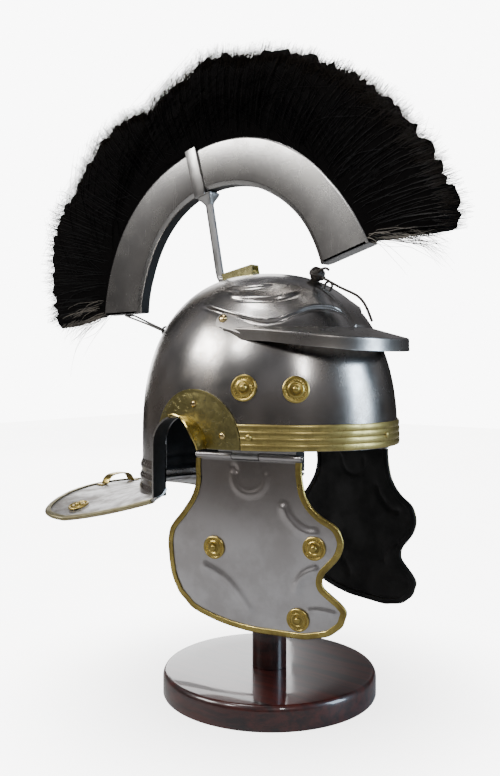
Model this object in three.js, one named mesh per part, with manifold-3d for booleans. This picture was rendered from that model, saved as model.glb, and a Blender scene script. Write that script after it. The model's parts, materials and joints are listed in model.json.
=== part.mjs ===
import * as THREE from "three";
import { mergeVertices } from "three/addons/utils/BufferGeometryUtils.js";
import Module from "manifold-3d";

const wasm = await Module();
wasm.setup();

// Driving sizes, in millimetres and degrees. +X is the wearer's front, +Y the left side, +Z up.
const GAP = 0.3;
const WALL = 1.6;

// Stand
const BASE_RADIUS = 98;
const BASE_HEIGHT = 22;
const POST_RADIUS = 15.8;
const TENON_RADIUS = 10;
const TENON_DEPTH = 13;
const HEAD_RADIUS = 30;

// Bowl
const RIM_Z = 231.5;
const BOWL_HALF_LENGTH = 123.7;
const BOWL_HALF_WIDTH = 102;
const BOWL_HEIGHT = 151;
const BOWL_X = -3.4;
const BOWL_FULLNESS = 2.38;
const BOWL_COLUMNS = 40;

// Ear openings
const EAR_X = -13.5;
const EAR_RADIUS = 25;
const EAR_SPRING_Z = 232;
const EAR_FLANGE_Y = 112.5;
const EAR_PLATE_RADIUS = 45.5;
const EAR_PLATE_X = -3;
const EAR_PLATE_Z = 235;
const EAR_PLATE_THICKNESS = 1.1;
const EAR_HOOD_DEPTH = 14;
const EAR_HOOD_SWELL = 5;
const EAR_HOOD_FLARE = 0.8;

// Neck guard
const NECK_CORNER_X = -188;
const NECK_REAR_X = -214;
const NECK_REAR_Z = 174;
const NECK_DROOP = 15;
const NECK_RISE = 31;
const NECK_THICKNESS = 1.6;

// Brass binding along sheet edges
const BINDING_DEPTH = 3.6;
const BINDING_WALL = 0.9;

// Brow band and peak
const BAND_HEIGHT = 21;
const BAND_THICKNESS = 0.9;
const BAND_RIBS = 4;
const BAND_RIB_HEIGHT = 0.6;
const PEAK_Z = 332;
const PEAK_TIP_Z = 322.5;
const PEAK_FRONT_X = 130.5;
const PEAK_CENTRE_X = 10;
const PEAK_HALF_WIDTH = 87;
const PEAK_SQUARENESS = 2.3;
const PEAK_THICKNESS = 1.6;
const PEAK_LIP = 11;
const PEAK_RIVET_X = 12;
const PEAK_RIVET_Z = 338;

// Cheek guards
const HINGE_X = -8;
const HINGE_Y = 91;
const HINGE_Z = 225.5;
const HINGE_TURN = 13.3;
const HINGE_LENGTH = 94.5;
const KNUCKLE_RADIUS = 2.7;
const PIN_RADIUS = 1.3;
const CHEEK_THICKNESS = 1.5;
const CHEEK_DROP = 145;
const CHEEK_BULGE = 3;
const CHEEK_TOE = 4;

// Crest
const CREST_X = -47.3;
const CREST_Z = RIM_Z + BOWL_HEIGHT - 27.2;
const CREST_RADIUS = 155.4;
const CREST_DEPTH = 44;
const CREST_STRETCH = 1.02;
const CREST_WIDTH = 16;
const CREST_WALL = 2;
const CREST_BEVEL = 4;
const CREST_END = 0.8;
const HAIR_LENGTH = 84;
const HAIR_WIDTH = 34;
const HAIR_LOCKS = 20;
const STRAP_ANGLE = 105;
const STRAP_WIDTH = 13;
const STRAP_THICKNESS = 2.2;
const ROD_RADIUS = 4.1;

// Key box on the crown
const KEY_X = -34;
const KEY_TILT = 11;
const KEY_LENGTH = 36;
const KEY_WIDTH = 11;
const KEY_HEIGHT = 9;
const KEY_WALL = 1.3;

// Bosses and small parts
const BOSS_RADIUS = 11;
const CHEEK_BOSS_RADIUS = 9.7;
const NECK_BOSS_RADIUS = 10;
const RIVET_RADIUS = 2.8;
const RIVET_HEIGHT = 1.8;
const WIRE_RADIUS = 1.1;
const THONG_RADIUS = 1.2;

const rad = THREE.MathUtils.degToRad;
const lerp = THREE.MathUtils.lerp;
const vec = (x, y, z) => new THREE.Vector3(x, y, z);

// Closed shells and solids

// Turns indexed positions into a geometry.
function meshOf(points, faces) {
  const geometry = new THREE.BufferGeometry();
  geometry.setAttribute("position", new THREE.Float32BufferAttribute(points.flat(), 3));
  geometry.setIndex(faces.flat());
  return geometry;
}

// Turns a geometry into a solid, facing outwards.
function solid(geometry) {
  const bare = new THREE.BufferGeometry();
  bare.setAttribute("position", geometry.getAttribute("position").clone());
  if (geometry.index) bare.setIndex(geometry.index.clone());
  const merged = mergeVertices(bare, 1e-4);
  const vertProperties = new Float32Array(merged.attributes.position.array);
  const make = (triVerts) =>
    new wasm.Manifold(new wasm.Mesh({ numProp: 3, vertProperties, triVerts }));
  const triVerts = new Uint32Array(merged.index.array);
  const made = make(triVerts);
  if (made.volume() >= 0) return made;
  for (let i = 0; i < triVerts.length; i += 3) {
    [triVerts[i], triVerts[i + 1]] = [triVerts[i + 1], triVerts[i]];
  }
  return make(triVerts);
}

// Turns a solid back into a geometry.
function geometryOf(made) {
  const mesh = made.getMesh();
  const points = [];
  for (let i = 0; i < mesh.numVert; i += 1) {
    const at = i * mesh.numProp;
    points.push(Array.from(mesh.vertProperties.slice(at, at + 3)));
  }
  return meshOf(points, [Array.from(mesh.triVerts)]).toNonIndexed();
}

function join(solids) {
  return solids.reduce((whole, piece) => whole.add(piece));
}

// A solid between rings of points that have the same number of points each.
function loft(rings) {
  const size = rings[0].length;
  const faces = [];
  for (let i = 0; i + 1 < rings.length; i += 1) {
    for (let j = 0; j < size; j += 1) {
      const a = i * size + j;
      const b = i * size + ((j + 1) % size);
      faces.push([a, b, b + size], [a, b + size, a + size]);
    }
  }
  const flat = ringPlane(rings[0]);
  for (const [a, b, c] of THREE.ShapeUtils.triangulateShape(flat, [])) {
    const end = (rings.length - 1) * size;
    faces.push([c, b, a], [a + end, b + end, c + end]);
  }
  return solid(meshOf(rings.flat(), faces));
}

// A ring drawn flat in its own plane, for the faces of its two ends.
function ringPlane(ring) {
  const points = ring.map((p) => vec(...p));
  const middle = points
    .reduce((sum, p) => sum.add(p), vec(0, 0, 0))
    .divideScalar(points.length);
  const across = points[0].clone().sub(middle).normalize();
  const normal = vec(0, 0, 0);
  points.forEach((p, i) => {
    const next = points[(i + 1) % points.length];
    normal.add(p.clone().sub(middle).cross(next.clone().sub(middle)));
  });
  const up = normal.normalize().cross(across);
  return points.map((p) => {
    const arm = p.sub(middle);
    return new THREE.Vector2(arm.dot(across), arm.dot(up));
  });
}

// A sheet between an outer and an inner grid of points, rows by columns.
function sheet(outer, inner) {
  const rows = outer.length;
  const columns = outer[0].length;
  const shift = rows * columns;
  const at = (i, j) => i * columns + j;
  const faces = [];
  for (let i = 0; i + 1 < rows; i += 1) {
    for (let j = 0; j + 1 < columns; j += 1) {
      const [a, b, c, d] = [at(i, j), at(i, j + 1), at(i + 1, j + 1), at(i + 1, j)];
      faces.push([a, b, c], [a, c, d]);
      faces.push([a + shift, c + shift, b + shift], [a + shift, d + shift, c + shift]);
    }
  }
  const rim = [];
  for (let j = 0; j < columns; j += 1) rim.push(at(0, j));
  for (let i = 1; i < rows; i += 1) rim.push(at(i, columns - 1));
  for (let j = columns - 2; j >= 0; j -= 1) rim.push(at(rows - 1, j));
  for (let i = rows - 2; i > 0; i -= 1) rim.push(at(i, 0));
  rim.forEach((a, k) => {
    const b = rim[(k + 1) % rim.length];
    faces.push([a, b + shift, b], [a, a + shift, b + shift]);
  });
  return solid(meshOf([...outer.flat(), ...inner.flat()], faces));
}

// A prism with its outline drawn in X and Z, from one Y to another.
function prismXZ(outline, fromY, toY) {
  return loft([outline.map(([x, z]) => [x, fromY, z]), outline.map(([x, z]) => [x, toY, z])]);
}

function box(sizeX, sizeY, sizeZ, x, y, z) {
  return solid(new THREE.BoxGeometry(sizeX, sizeY, sizeZ).translate(x, y, z));
}

// A turned solid round the Z axis, its profile from the axis back to the axis.
function turned(profile, segments) {
  const points = profile.map(([r, z]) => new THREE.Vector2(r, z));
  return new THREE.LatheGeometry(points, segments).rotateX(Math.PI / 2);
}

// A round wire along points, with an even number of steps.
function wire(points, radius, sides, steps, closed = false) {
  const path = new THREE.CatmullRomCurve3(points, closed, "centripetal");
  const shape = new THREE.Shape();
  for (let k = 0; k < sides; k += 1) {
    const turn = (2 * Math.PI * k) / sides;
    const [x, y] = [radius * Math.cos(turn), radius * Math.sin(turn)];
    if (k) shape.lineTo(x, y);
    else shape.moveTo(x, y);
  }
  shape.closePath();
  return new THREE.ExtrudeGeometry(shape, { steps, extrudePath: path });
}

function mirrored(made) {
  return made.mirror([0, 1, 0]);
}

// Points along an arc in a plane, as pairs.
function arc(x, z, radius, fromDeg, toDeg, steps) {
  const points = [];
  for (let k = 0; k <= steps; k += 1) {
    const turn = rad(lerp(fromDeg, toDeg, k / steps));
    points.push([x + radius * Math.cos(turn), z + radius * Math.sin(turn)]);
  }
  return points;
}

// Bowl surface

// How much of the bowl's plan is left at a height above the rim.
function planShare(z, offset = 0) {
  const share = THREE.MathUtils.clamp((z - RIM_Z) / (BOWL_HEIGHT + offset), 0, 1);
  return Math.pow(1 - Math.pow(share, BOWL_FULLNESS), 1 / BOWL_FULLNESS);
}

// A point on the bowl, or off it by a distance, at a turn in degrees and a height.
function bowlPoint(turn, z, offset = 0) {
  const share = planShare(z, offset);
  return [
    BOWL_X + (BOWL_HALF_LENGTH + offset) * share * Math.cos(rad(turn)),
    (BOWL_HALF_WIDTH + offset) * share * Math.sin(rad(turn)),
    z,
  ];
}

// The height of the bowl over a point of its plan.
function bowlHeight(x, y, offset = 0) {
  const reach = Math.hypot(
    (x - BOWL_X) / (BOWL_HALF_LENGTH + offset),
    y / (BOWL_HALF_WIDTH + offset),
  );
  const share = Math.pow(1 - Math.pow(Math.min(reach, 1), BOWL_FULLNESS), 1 / BOWL_FULLNESS);
  return RIM_Z + (BOWL_HEIGHT + offset) * share;
}

// The half width of the bowl's plan at a distance along it and a height.
function bowlSide(x, z, offset = 0) {
  const share = planShare(z, offset);
  const along = (x - BOWL_X) / ((BOWL_HALF_LENGTH + offset) * share);
  return (BOWL_HALF_WIDTH + offset) * share * Math.sqrt(Math.max(0, 1 - along * along));
}

// The outward direction on the bowl.
function bowlNormal([x, y, z]) {
  const n = BOWL_FULLNESS;
  const [u, v] = [(x - BOWL_X) / BOWL_HALF_LENGTH, y / BOWL_HALF_WIDTH];
  const reach = Math.max(Math.hypot(u, v), 1e-6);
  const flat = Math.pow(reach, n - 2);
  const share = Math.max(0, (z - RIM_Z) / BOWL_HEIGHT);
  return vec(
    (flat * u) / BOWL_HALF_LENGTH,
    (flat * v) / BOWL_HALF_WIDTH,
    Math.pow(share, n - 1) / BOWL_HEIGHT,
  ).normalize();
}

const TURN_STEP = 360 / BOWL_COLUMNS;
const HEIGHT_SHARES = [0, 0.22, 0.44, 0.63, 0.79, 0.9, 0.965, 0.994];

// Ridges round the nape: the height under the rim and how far each level stands out.
const NAPE_LEVELS = [
  { drop: 18, out: 0 },
  { drop: 23, out: 2.2 },
  { drop: 28, out: 0.6 },
  { drop: 33, out: 2.8 },
  { drop: 38, out: 1.2 },
  { drop: 43, out: 3.2 },
  { drop: 56, out: 3.2 },
];

// How strongly the nape ridges show at a turn: full at the back, none at the ears.
function napeShare(turn) {
  const fromBack = Math.abs(THREE.MathUtils.euclideanModulo(turn, 360) - 180);
  return THREE.MathUtils.clamp((78 - fromBack) / 18, 0, 1);
}

// The bowl's closed form at an offset, from under the nape to the crown.
function bowlForm(offset) {
  const rings = [];
  const ring = (z, out) => {
    const points = [];
    for (let k = 0; k < BOWL_COLUMNS; k += 1) {
      const turn = k * TURN_STEP;
      points.push(bowlPoint(turn, z, offset + out * napeShare(turn)));
    }
    return points;
  };
  for (const level of [...NAPE_LEVELS].reverse()) {
    rings.push(ring(RIM_Z - level.drop, level.out));
  }
  for (const share of HEIGHT_SHARES) {
    rings.push(ring(RIM_Z + share * (BOWL_HEIGHT + offset), 0));
  }
  const size = BOWL_COLUMNS;
  const faces = [];
  for (let i = 0; i + 1 < rings.length; i += 1) {
    for (let j = 0; j < size; j += 1) {
      const a = i * size + j;
      const b = i * size + ((j + 1) % size);
      faces.push([a, b, b + size], [a, b + size, a + size]);
    }
  }
  const points = rings.flat();
  const low = points.push([BOWL_X, 0, rings[0][0][2]]) - 1;
  const top = points.push([BOWL_X, 0, RIM_Z + BOWL_HEIGHT + offset]) - 1;
  const last = (rings.length - 1) * size;
  for (let j = 0; j < size; j += 1) {
    const next = (j + 1) % size;
    faces.push([low, next, j], [top, last + j, last + next]);
  }
  return solid(meshOf(points, faces));
}

// Outline of an ear opening, widened by a margin, down to a height.
function earArch(margin, bottomZ) {
  const radius = EAR_RADIUS + margin;
  return [
    [EAR_X - radius, bottomZ],
    ...arc(EAR_X, EAR_SPRING_Z, radius, 180, 0, 16),
    [EAR_X + radius, bottomZ],
  ];
}

// Neck guard

const NECK_FRONT_X = EAR_X - EAR_RADIUS;

// Outline of the neck guard in plan, on the left side from the ear to the back.
const NECK_OUTLINE = [
  { x: NECK_FRONT_X, y: EAR_FLANGE_Y },
  { x: lerp(NECK_FRONT_X, NECK_CORNER_X, 0.25), y: BOWL_HALF_WIDTH + 12 },
  { x: lerp(NECK_FRONT_X, NECK_CORNER_X, 0.5), y: BOWL_HALF_WIDTH + 14 },
  { x: lerp(NECK_FRONT_X, NECK_CORNER_X, 0.72), y: BOWL_HALF_WIDTH + 15.5 },
  { x: lerp(NECK_FRONT_X, NECK_CORNER_X, 0.85), y: BOWL_HALF_WIDTH + 15 },
  { x: lerp(NECK_FRONT_X, NECK_CORNER_X, 0.94), y: BOWL_HALF_WIDTH + 10.5 },
  { x: NECK_CORNER_X, y: BOWL_HALF_WIDTH },
  { x: lerp(NECK_CORNER_X, NECK_REAR_X, 0.35), y: BOWL_HALF_WIDTH * 0.82 },
  { x: lerp(NECK_CORNER_X, NECK_REAR_X, 0.7), y: BOWL_HALF_WIDTH * 0.56 },
  { x: lerp(NECK_CORNER_X, NECK_REAR_X, 0.93), y: BOWL_HALF_WIDTH * 0.27 },
  { x: NECK_REAR_X, y: 0 },
];

// The height of the top of the neck guard over its plan.
function neckHeight(x, y) {
  const forward = Math.max(0, (x - NECK_REAR_X) / (NECK_FRONT_X - NECK_REAR_X));
  const droop = NECK_DROOP * lerp(0.4, 1, Math.min(1, forward * 2.7) ** 0.8);
  return NECK_REAR_Z + NECK_RISE * forward ** 1.7 - droop * (y / 100) ** 2;
}

const NECK_COLUMNS = NECK_OUTLINE.length * 2 - 1;

// Both halves of the outline as one row of plan points, from the right ear to the left one.
const NECK_EDGE = [
  ...NECK_OUTLINE.map(({ x, y }) => [x, -y]),
  ...NECK_OUTLINE.slice(0, -1)
    .reverse()
    .map(({ x, y }) => [x, y]),
];

// A plan point on the nape wall that belongs to a column of the neck guard.
function napeFoot(column) {
  const side = Math.acos((NECK_FRONT_X - BOWL_X) / (BOWL_HALF_LENGTH - WALL / 2));
  const turn = lerp(-side, side - 2 * Math.PI, column / (NECK_COLUMNS - 1));
  const reach = BOWL_HALF_LENGTH - WALL / 2;
  const wide = BOWL_HALF_WIDTH - WALL / 2;
  return [BOWL_X + reach * Math.cos(turn), wide * Math.sin(turn)];
}

const NECK_SHARES = [0, 0.3, 0.6, 0.86, 1];

// A point on top of the neck guard, by its column and its share of the way to the edge.
function neckPoint(column, share, drop = 0) {
  const [x, y] = NECK_EDGE[column];
  const [footX, footY] = napeFoot(column);
  const [px, py] = [lerp(footX, x, share), lerp(footY, y, share)];
  return [px, py, neckHeight(px, py) - drop];
}

function neckPlate() {
  const grid = (drop) =>
    NECK_SHARES.map((share) => NECK_EDGE.map((_, column) => neckPoint(column, share, drop)));
  return sheet(grid(0), grid(NECK_THICKNESS));
}

// What lies under the top of the neck guard, to trim the nape wall.
function underNeck() {
  const rows = [];
  const floor = [];
  for (let i = 0; i <= 12; i += 1) {
    const x = lerp(-BOWL_HALF_LENGTH - 20, NECK_FRONT_X + 4, i / 12);
    const row = [];
    const low = [];
    for (let j = 0; j <= 16; j += 1) {
      const y = lerp(-130, 130, j / 16);
      row.push([x, y, neckHeight(x, y) - NECK_THICKNESS * 0.6]);
      low.push([x, y, 120]);
    }
    rows.push(row);
    floor.push(low);
  }
  return sheet(rows, floor);
}

// Raised brow lines on the front of the bowl, each a step that fades out upwards.
const BROW_LINES = [
  {
    rise: 2.2,
    fade: 11,
    line: [
      { turn: 101, z: 352 },
      { turn: 90, z: 347.8 },
      { turn: 79, z: 343.2 },
      { turn: 69, z: 339.2 },
      { turn: 60, z: 336.4 },
      { turn: 52, z: 337.6 },
      { turn: 44, z: 342.2 },
      { turn: 35, z: 346.8 },
      { turn: 27, z: 348.6 },
      { turn: 18.6, z: 348 },
      { turn: 12, z: 345 },
      { turn: 8, z: 339 },
    ],
  },
  {
    rise: 1.6,
    fade: 9,
    line: [
      { turn: 86, z: 359.5 },
      { turn: 75, z: 356.5 },
      { turn: 64, z: 355.5 },
      { turn: 52, z: 356 },
      { turn: 42, z: 359 },
      { turn: 33, z: 363 },
    ],
  },
  {
    rise: 1.4,
    fade: 6,
    line: [
      { turn: 92, z: 367.5 },
      { turn: 78, z: 366 },
      { turn: 64, z: 367 },
      { turn: 50, z: 369.5 },
    ],
  },
];

// One brow step on one side of the bowl, grown by a margin.
function browStep({ rise, fade, line }, side, margin = 0) {
  const outer = [[], [], []];
  const inner = [[], [], []];
  line.forEach(({ turn, z }, k) => {
    const end = Math.min(k, line.length - 1 - k) / 1.5;
    const height = rise * Math.min(1, 0.25 + end);
    [0, 0.4, 1].forEach((share, row) => {
      const level = z + share * fade + (row ? margin : -margin);
      const out = lerp(height, -0.6, share ** 0.7) + margin;
      outer[row].push(bowlPoint(side * turn, level, out));
      inner[row].push(bowlPoint(side * turn, level, -0.9 * WALL));
    });
  });
  return sheet(outer, inner);
}

// All the brow steps together, grown by a margin.
function browSteps(margin) {
  return join(BROW_LINES.flatMap((brow) => [1, -1].map((side) => browStep(brow, side, margin))));
}

// The steel flange round the back of an ear opening, on the left side.
function earRearFlange() {
  const path = [
    [EAR_X - EAR_RADIUS, neckHeight(NECK_FRONT_X, BOWL_HALF_WIDTH) - NECK_THICKNESS],
    ...arc(EAR_X, EAR_SPRING_Z, EAR_RADIUS, 180, 106, 7),
  ];
  const outside = path.map(([x, z], k) => {
    if (k === 0) return [x - WALL, z];
    const turn = Math.atan2(z - EAR_SPRING_Z, x - EAR_X);
    return [x + WALL * Math.cos(turn), z + WALL * Math.sin(turn)];
  });
  const outline = [...path, ...outside.reverse()];
  const root = bowlSide(NECK_FRONT_X, RIM_Z) - WALL / 2;
  return prismXZ(outline, root, EAR_FLANGE_Y);
}

function makeBowl() {
  let shell = bowlForm(0).subtract(bowlForm(-WALL));
  const far = 2 * BOWL_HALF_LENGTH;
  shell = shell.subtract(
    box(far, far, 100, NECK_FRONT_X + far / 2, 0, RIM_Z - 50),
  );
  const ears = prismXZ(earArch(0, RIM_Z - 70), -far / 2, far / 2);
  shell = shell.subtract(ears);
  shell = shell.subtract(underNeck());
  const flange = earRearFlange();
  return join([shell, neckPlate(), flange, mirrored(flange), browSteps(0)]);
}

// A folded brass binding along the edge of a sheet. Each place gives the edge point,
// the direction into the sheet and the sheet's own normal, and slack is the play all round.
function binding(places, thickness, slack = GAP) {
  const half = thickness / 2 + slack;
  const full = half + BINDING_WALL;
  const rings = places.map(({ at, into, normal }) => {
    const point = (depth, out) =>
      at
        .clone()
        .addScaledVector(into, depth)
        .addScaledVector(normal, out)
        .toArray();
    return [
      point(-slack - BINDING_WALL, full * 0.6),
      point(BINDING_DEPTH, full),
      point(BINDING_DEPTH, half),
      point(-slack, half),
      point(-slack, -half),
      point(BINDING_DEPTH, -half),
      point(BINDING_DEPTH, -full),
      point(-slack - BINDING_WALL, -full * 0.6),
    ];
  });
  return loft(rings);
}

function makeNeckEdging() {
  const half = NECK_THICKNESS / 2;
  const edge = NECK_EDGE.map((_, column) => vec(...neckPoint(column, 1, half)));
  const inner = NECK_EDGE.map((_, column) => {
    return vec(...neckPoint(column, NECK_SHARES[NECK_SHARES.length - 2], half));
  });
  const last = edge.length - 1;
  const clear = (WALL + 2 * GAP) / edge[0].distanceTo(edge[1]);
  for (const row of [edge, inner]) {
    row[0].lerp(row[1], clear);
    row[last].lerp(row[last - 1], clear);
  }
  const places = edge.map((at, k) => {
    const before = edge[Math.max(0, k - 1)];
    const after = edge[Math.min(last, k + 1)];
    const along = after.clone().sub(before).normalize();
    const into = inner[k].clone().sub(at);
    into.addScaledVector(along, -into.dot(along)).normalize();
    const normal = along.clone().cross(into).normalize();
    if (normal.z < 0) normal.negate();
    return { at, into, normal };
  });
  return binding(places, NECK_THICKNESS, 2.5 * GAP);
}

// Brass parts of the bowl

// A dome rivet head standing on a surface, sunk a little so that it joins the sheet under it.
function rivetHead(place, out) {
  const normal = bowlNormal(place);
  const profile = [
    [0, -0.8],
    [RIVET_RADIUS * 0.8, -0.8],
    [RIVET_RADIUS, 0.2],
    [RIVET_RADIUS * 0.75, RIVET_HEIGHT * 0.75],
    [RIVET_RADIUS * 0.35, RIVET_HEIGHT],
    [0, RIVET_HEIGHT],
  ];
  const geometry = turned(profile, 10);
  const turn = new THREE.Quaternion().setFromUnitVectors(vec(0, 0, 1), normal);
  geometry.applyQuaternion(turn);
  const [x, y, z] = vec(...place).addScaledVector(normal, out).toArray();
  return solid(geometry.translate(x, y, z));
}

// The brass plate and hood round the front of an ear opening, on the left side.
function earGuard() {
  const plate = bowlForm(GAP + EAR_PLATE_THICKNESS).subtract(bowlForm(GAP));
  const disc = arc(EAR_PLATE_X, EAR_PLATE_Z, EAR_PLATE_RADIUS, 0, 360, 32).slice(0, -1);
  const reach = BOWL_HALF_WIDTH + 12;
  let crescent = plate.intersect(prismXZ(disc, 40, reach));
  crescent = crescent.subtract(prismXZ(earArch(0, RIM_Z - 60), 40, reach));
  const bottom = RIM_Z + 0.3;
  crescent = crescent.subtract(box(200, 200, 60, 0, BOWL_HALF_WIDTH, bottom - 30));
  const rear = earArch(WALL + GAP, RIM_Z - 60);
  const rearCut = prismXZ(rear, 40, reach).intersect(
    box(100, 200, 200, EAR_X - EAR_RADIUS * 0.26 - 50, BOWL_HALF_WIDTH, RIM_Z),
  );
  crescent = crescent.subtract(rearCut);
  const hoodStart = 102;
  const rows = { outer: [], inner: [] };
  for (const [depth, share] of [
    [0, 0],
    [0.45, 0.25],
    [0.8, 0.6],
    [1, 1],
  ]) {
    const flare = EAR_HOOD_FLARE * share;
    const outer = [];
    const inner = [];
    for (let k = 0; k <= 14; k += 1) {
      const turn = rad(lerp(0, hoodStart, k / 14));
      const [cos, sin] = [Math.cos(turn), Math.sin(turn)];
      const near = EAR_RADIUS + flare;
      const wide = near + EAR_PLATE_THICKNESS;
      const root = bowlSide(EAR_X + EAR_RADIUS * cos, EAR_SPRING_Z + near * sin, GAP + 0.5);
      const swell = EAR_HOOD_SWELL * Math.max(0, Math.sin(2.4 * turn + 0.1));
      const y = root + (EAR_HOOD_DEPTH + swell) * depth;
      inner.push([EAR_X + near * cos, y, EAR_SPRING_Z + near * sin]);
      outer.push([EAR_X + wide * cos, y, EAR_SPRING_Z + wide * sin]);
    }
    rows.outer.push(outer);
    rows.inner.push(inner);
  }
  const hood = sheet(rows.outer, rows.inner);
  const rivets = [
    { x: -2, z: 268 },
    { x: 27, z: 243 },
  ].map(({ x, z }) => rivetHead([x, bowlSide(x, z), z], GAP + EAR_PLATE_THICKNESS));
  return join([crescent, hood, ...rivets]);
}

function makeBrowBand() {
  const levels = [{ share: 0, out: 0 }];
  for (let k = 0; k < BAND_RIBS; k += 1) {
    const low = k / BAND_RIBS;
    const pitch = 1 / BAND_RIBS;
    levels.push({ share: low + pitch / 2, out: BAND_RIB_HEIGHT });
    levels.push({ share: low + pitch, out: 0 });
  }
  const first = Math.ceil(73 / TURN_STEP);
  const outer = [];
  const inner = [];
  for (const { share, out } of levels) {
    const z = RIM_Z + 0.4 + share * BAND_HEIGHT;
    const outRow = [];
    const inRow = [];
    for (let k = -first; k <= first; k += 1) {
      outRow.push(bowlPoint(k * TURN_STEP, z, GAP + BAND_THICKNESS + out));
      inRow.push(bowlPoint(k * TURN_STEP, z, GAP));
    }
    outer.push(outRow);
    inner.push(inRow);
  }
  const reach = BOWL_HALF_WIDTH + 12;
  const disc = arc(
    EAR_PLATE_X,
    EAR_PLATE_Z,
    EAR_PLATE_RADIUS + 2 * GAP,
    0,
    360,
    32,
  ).slice(0, -1);
  const band = sheet(outer, inner).subtract(prismXZ(disc, -reach, reach));
  const z = RIM_Z + BAND_HEIGHT / 2;
  const rivets = [-65, 0, 65].map((turn) =>
    rivetHead(bowlPoint(turn, z), GAP + BAND_THICKNESS + BAND_RIB_HEIGHT * 0.8),
  );
  return join([band, ...rivets]);
}

// The peak over the brow: a sloping shelf with a turned-down lip and two riveted tabs.
function peakOuter(turn) {
  const power = 2 / PEAK_SQUARENESS;
  const [cos, sin] = [Math.cos(turn), Math.sin(turn)];
  const x = PEAK_CENTRE_X + (PEAK_FRONT_X - PEAK_CENTRE_X) * Math.max(0, cos) ** power;
  return [x, Math.sign(sin) * PEAK_HALF_WIDTH * Math.abs(sin) ** power];
}

function makeBrowGuard() {
  const reach = 80;
  const steps = 18;
  const rows = {
    top: [[], [], []],
    under: [[], [], []],
  };
  for (let k = 0; k <= steps; k += 1) {
    const turn = rad(lerp(-reach, reach, k / steps));
    const [x, y] = peakOuter(turn);
    const ends = Math.abs(k / steps - 0.5) * 2;
    const outerZ = lerp(PEAK_TIP_Z, PEAK_Z - 0.6, ends ** 2.2);
    const seat = planShare(PEAK_Z, GAP);
    const inX = BOWL_X + (BOWL_HALF_LENGTH + GAP) * seat * Math.cos(turn * 1.04);
    const inY = (BOWL_HALF_WIDTH + GAP) * seat * Math.sin(turn * 1.04);
    const lip = PEAK_LIP * lerp(1, 0.8, ends ** 2);
    const shrink = 1 - PEAK_THICKNESS / Math.hypot(x - PEAK_CENTRE_X, y);
    const backX = PEAK_CENTRE_X + (x - PEAK_CENTRE_X) * shrink;
    const backY = y * shrink;
    rows.top[0].push([inX, inY, PEAK_Z]);
    rows.top[1].push([x, y, outerZ]);
    rows.top[2].push([x, y, outerZ - lip]);
    rows.under[0].push([inX, inY, PEAK_Z - PEAK_THICKNESS]);
    rows.under[1].push([backX, backY, outerZ - PEAK_THICKNESS]);
    rows.under[2].push([backX, backY, outerZ - lip]);
  }
  let shelf = sheet(rows.top, rows.under);
  shelf = shelf.subtract(bowlForm(GAP));
  const tabLayer = bowlForm(GAP + PEAK_THICKNESS).subtract(bowlForm(GAP));
  const rivetZ = PEAK_RIVET_Z;
  const tabOutline = [
    ...arc(PEAK_RIVET_X, rivetZ, 6, 80, 250, 8),
    [PEAK_RIVET_X + 26, PEAK_Z - PEAK_LIP + 4],
    [PEAK_RIVET_X + 30, PEAK_Z + 1],
  ];
  const tab = tabLayer.intersect(prismXZ(tabOutline, 30, BOWL_HALF_WIDTH + 10));
  const hole = rivetShank(PEAK_RIVET_X, rivetZ, RIVET_RADIUS * 0.55 + GAP, 8);
  const holed = tab.subtract(hole);
  return join([shelf, holed, mirrored(holed)]).subtract(browSteps(1.5 * GAP));
}

// The shank of a rivet through a tab on the left side of the bowl.
function rivetShank(x, z, radius, length) {
  const place = [x, bowlSide(x, z), z];
  const normal = bowlNormal(place);
  const profile = [
    [0, GAP],
    [radius, GAP],
    [radius, GAP + length],
    [0, GAP + length],
  ];
  const geometry = turned(profile, 10);
  geometry.applyQuaternion(
    new THREE.Quaternion().setFromUnitVectors(vec(0, 0, 1), normal),
  );
  return solid(geometry.translate(...place));
}

function makeBrowRivet() {
  const [x, z] = [PEAK_RIVET_X, PEAK_RIVET_Z];
  const place = [x, bowlSide(x, z), z];
  const normal = bowlNormal(place);
  const low = 2 * GAP + PEAK_THICKNESS;
  const shank = RIVET_RADIUS * 0.55;
  const head = RIVET_RADIUS * 1.35;
  const profile = [
    [0, 2 * GAP],
    [shank, 2 * GAP],
    [shank, low],
    [head, low],
    [head, low + 0.6],
    [head * 0.7, low + RIVET_HEIGHT],
    [head * 0.3, low + RIVET_HEIGHT * 1.3],
    [0, low + RIVET_HEIGHT * 1.3],
  ];
  const geometry = turned(profile, 12);
  geometry.applyQuaternion(
    new THREE.Quaternion().setFromUnitVectors(vec(0, 0, 1), normal),
  );
  return solid(geometry.translate(...place));
}

// A round brass boss with two raised rings and a centre rivet, standing on the XY plane.
function bossGeometry(radius) {
  const profile = [
    [0, 0],
    [radius, 0],
    [radius * 0.97, 1.4],
    [radius * 0.84, 1.8],
    [radius * 0.72, 1.1],
    [radius * 0.5, 2],
    [radius * 0.3, 1.6],
    [0, 4],
  ];
  return turned(profile, 12);
}

function placeBoss(radius, place, normal) {
  const geometry = bossGeometry(radius);
  geometry.applyQuaternion(
    new THREE.Quaternion().setFromUnitVectors(vec(0, 0, 1), normal),
  );
  return solid(geometry.translate(...place.toArray()));
}

function bowlBoss(turn, z) {
  const place = bowlPoint(turn, z);
  const normal = bowlNormal(place);
  const boss = placeBoss(BOSS_RADIUS, vec(...place).addScaledVector(normal, -2 * GAP), normal);
  return boss.subtract(bowlForm(GAP));
}

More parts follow.
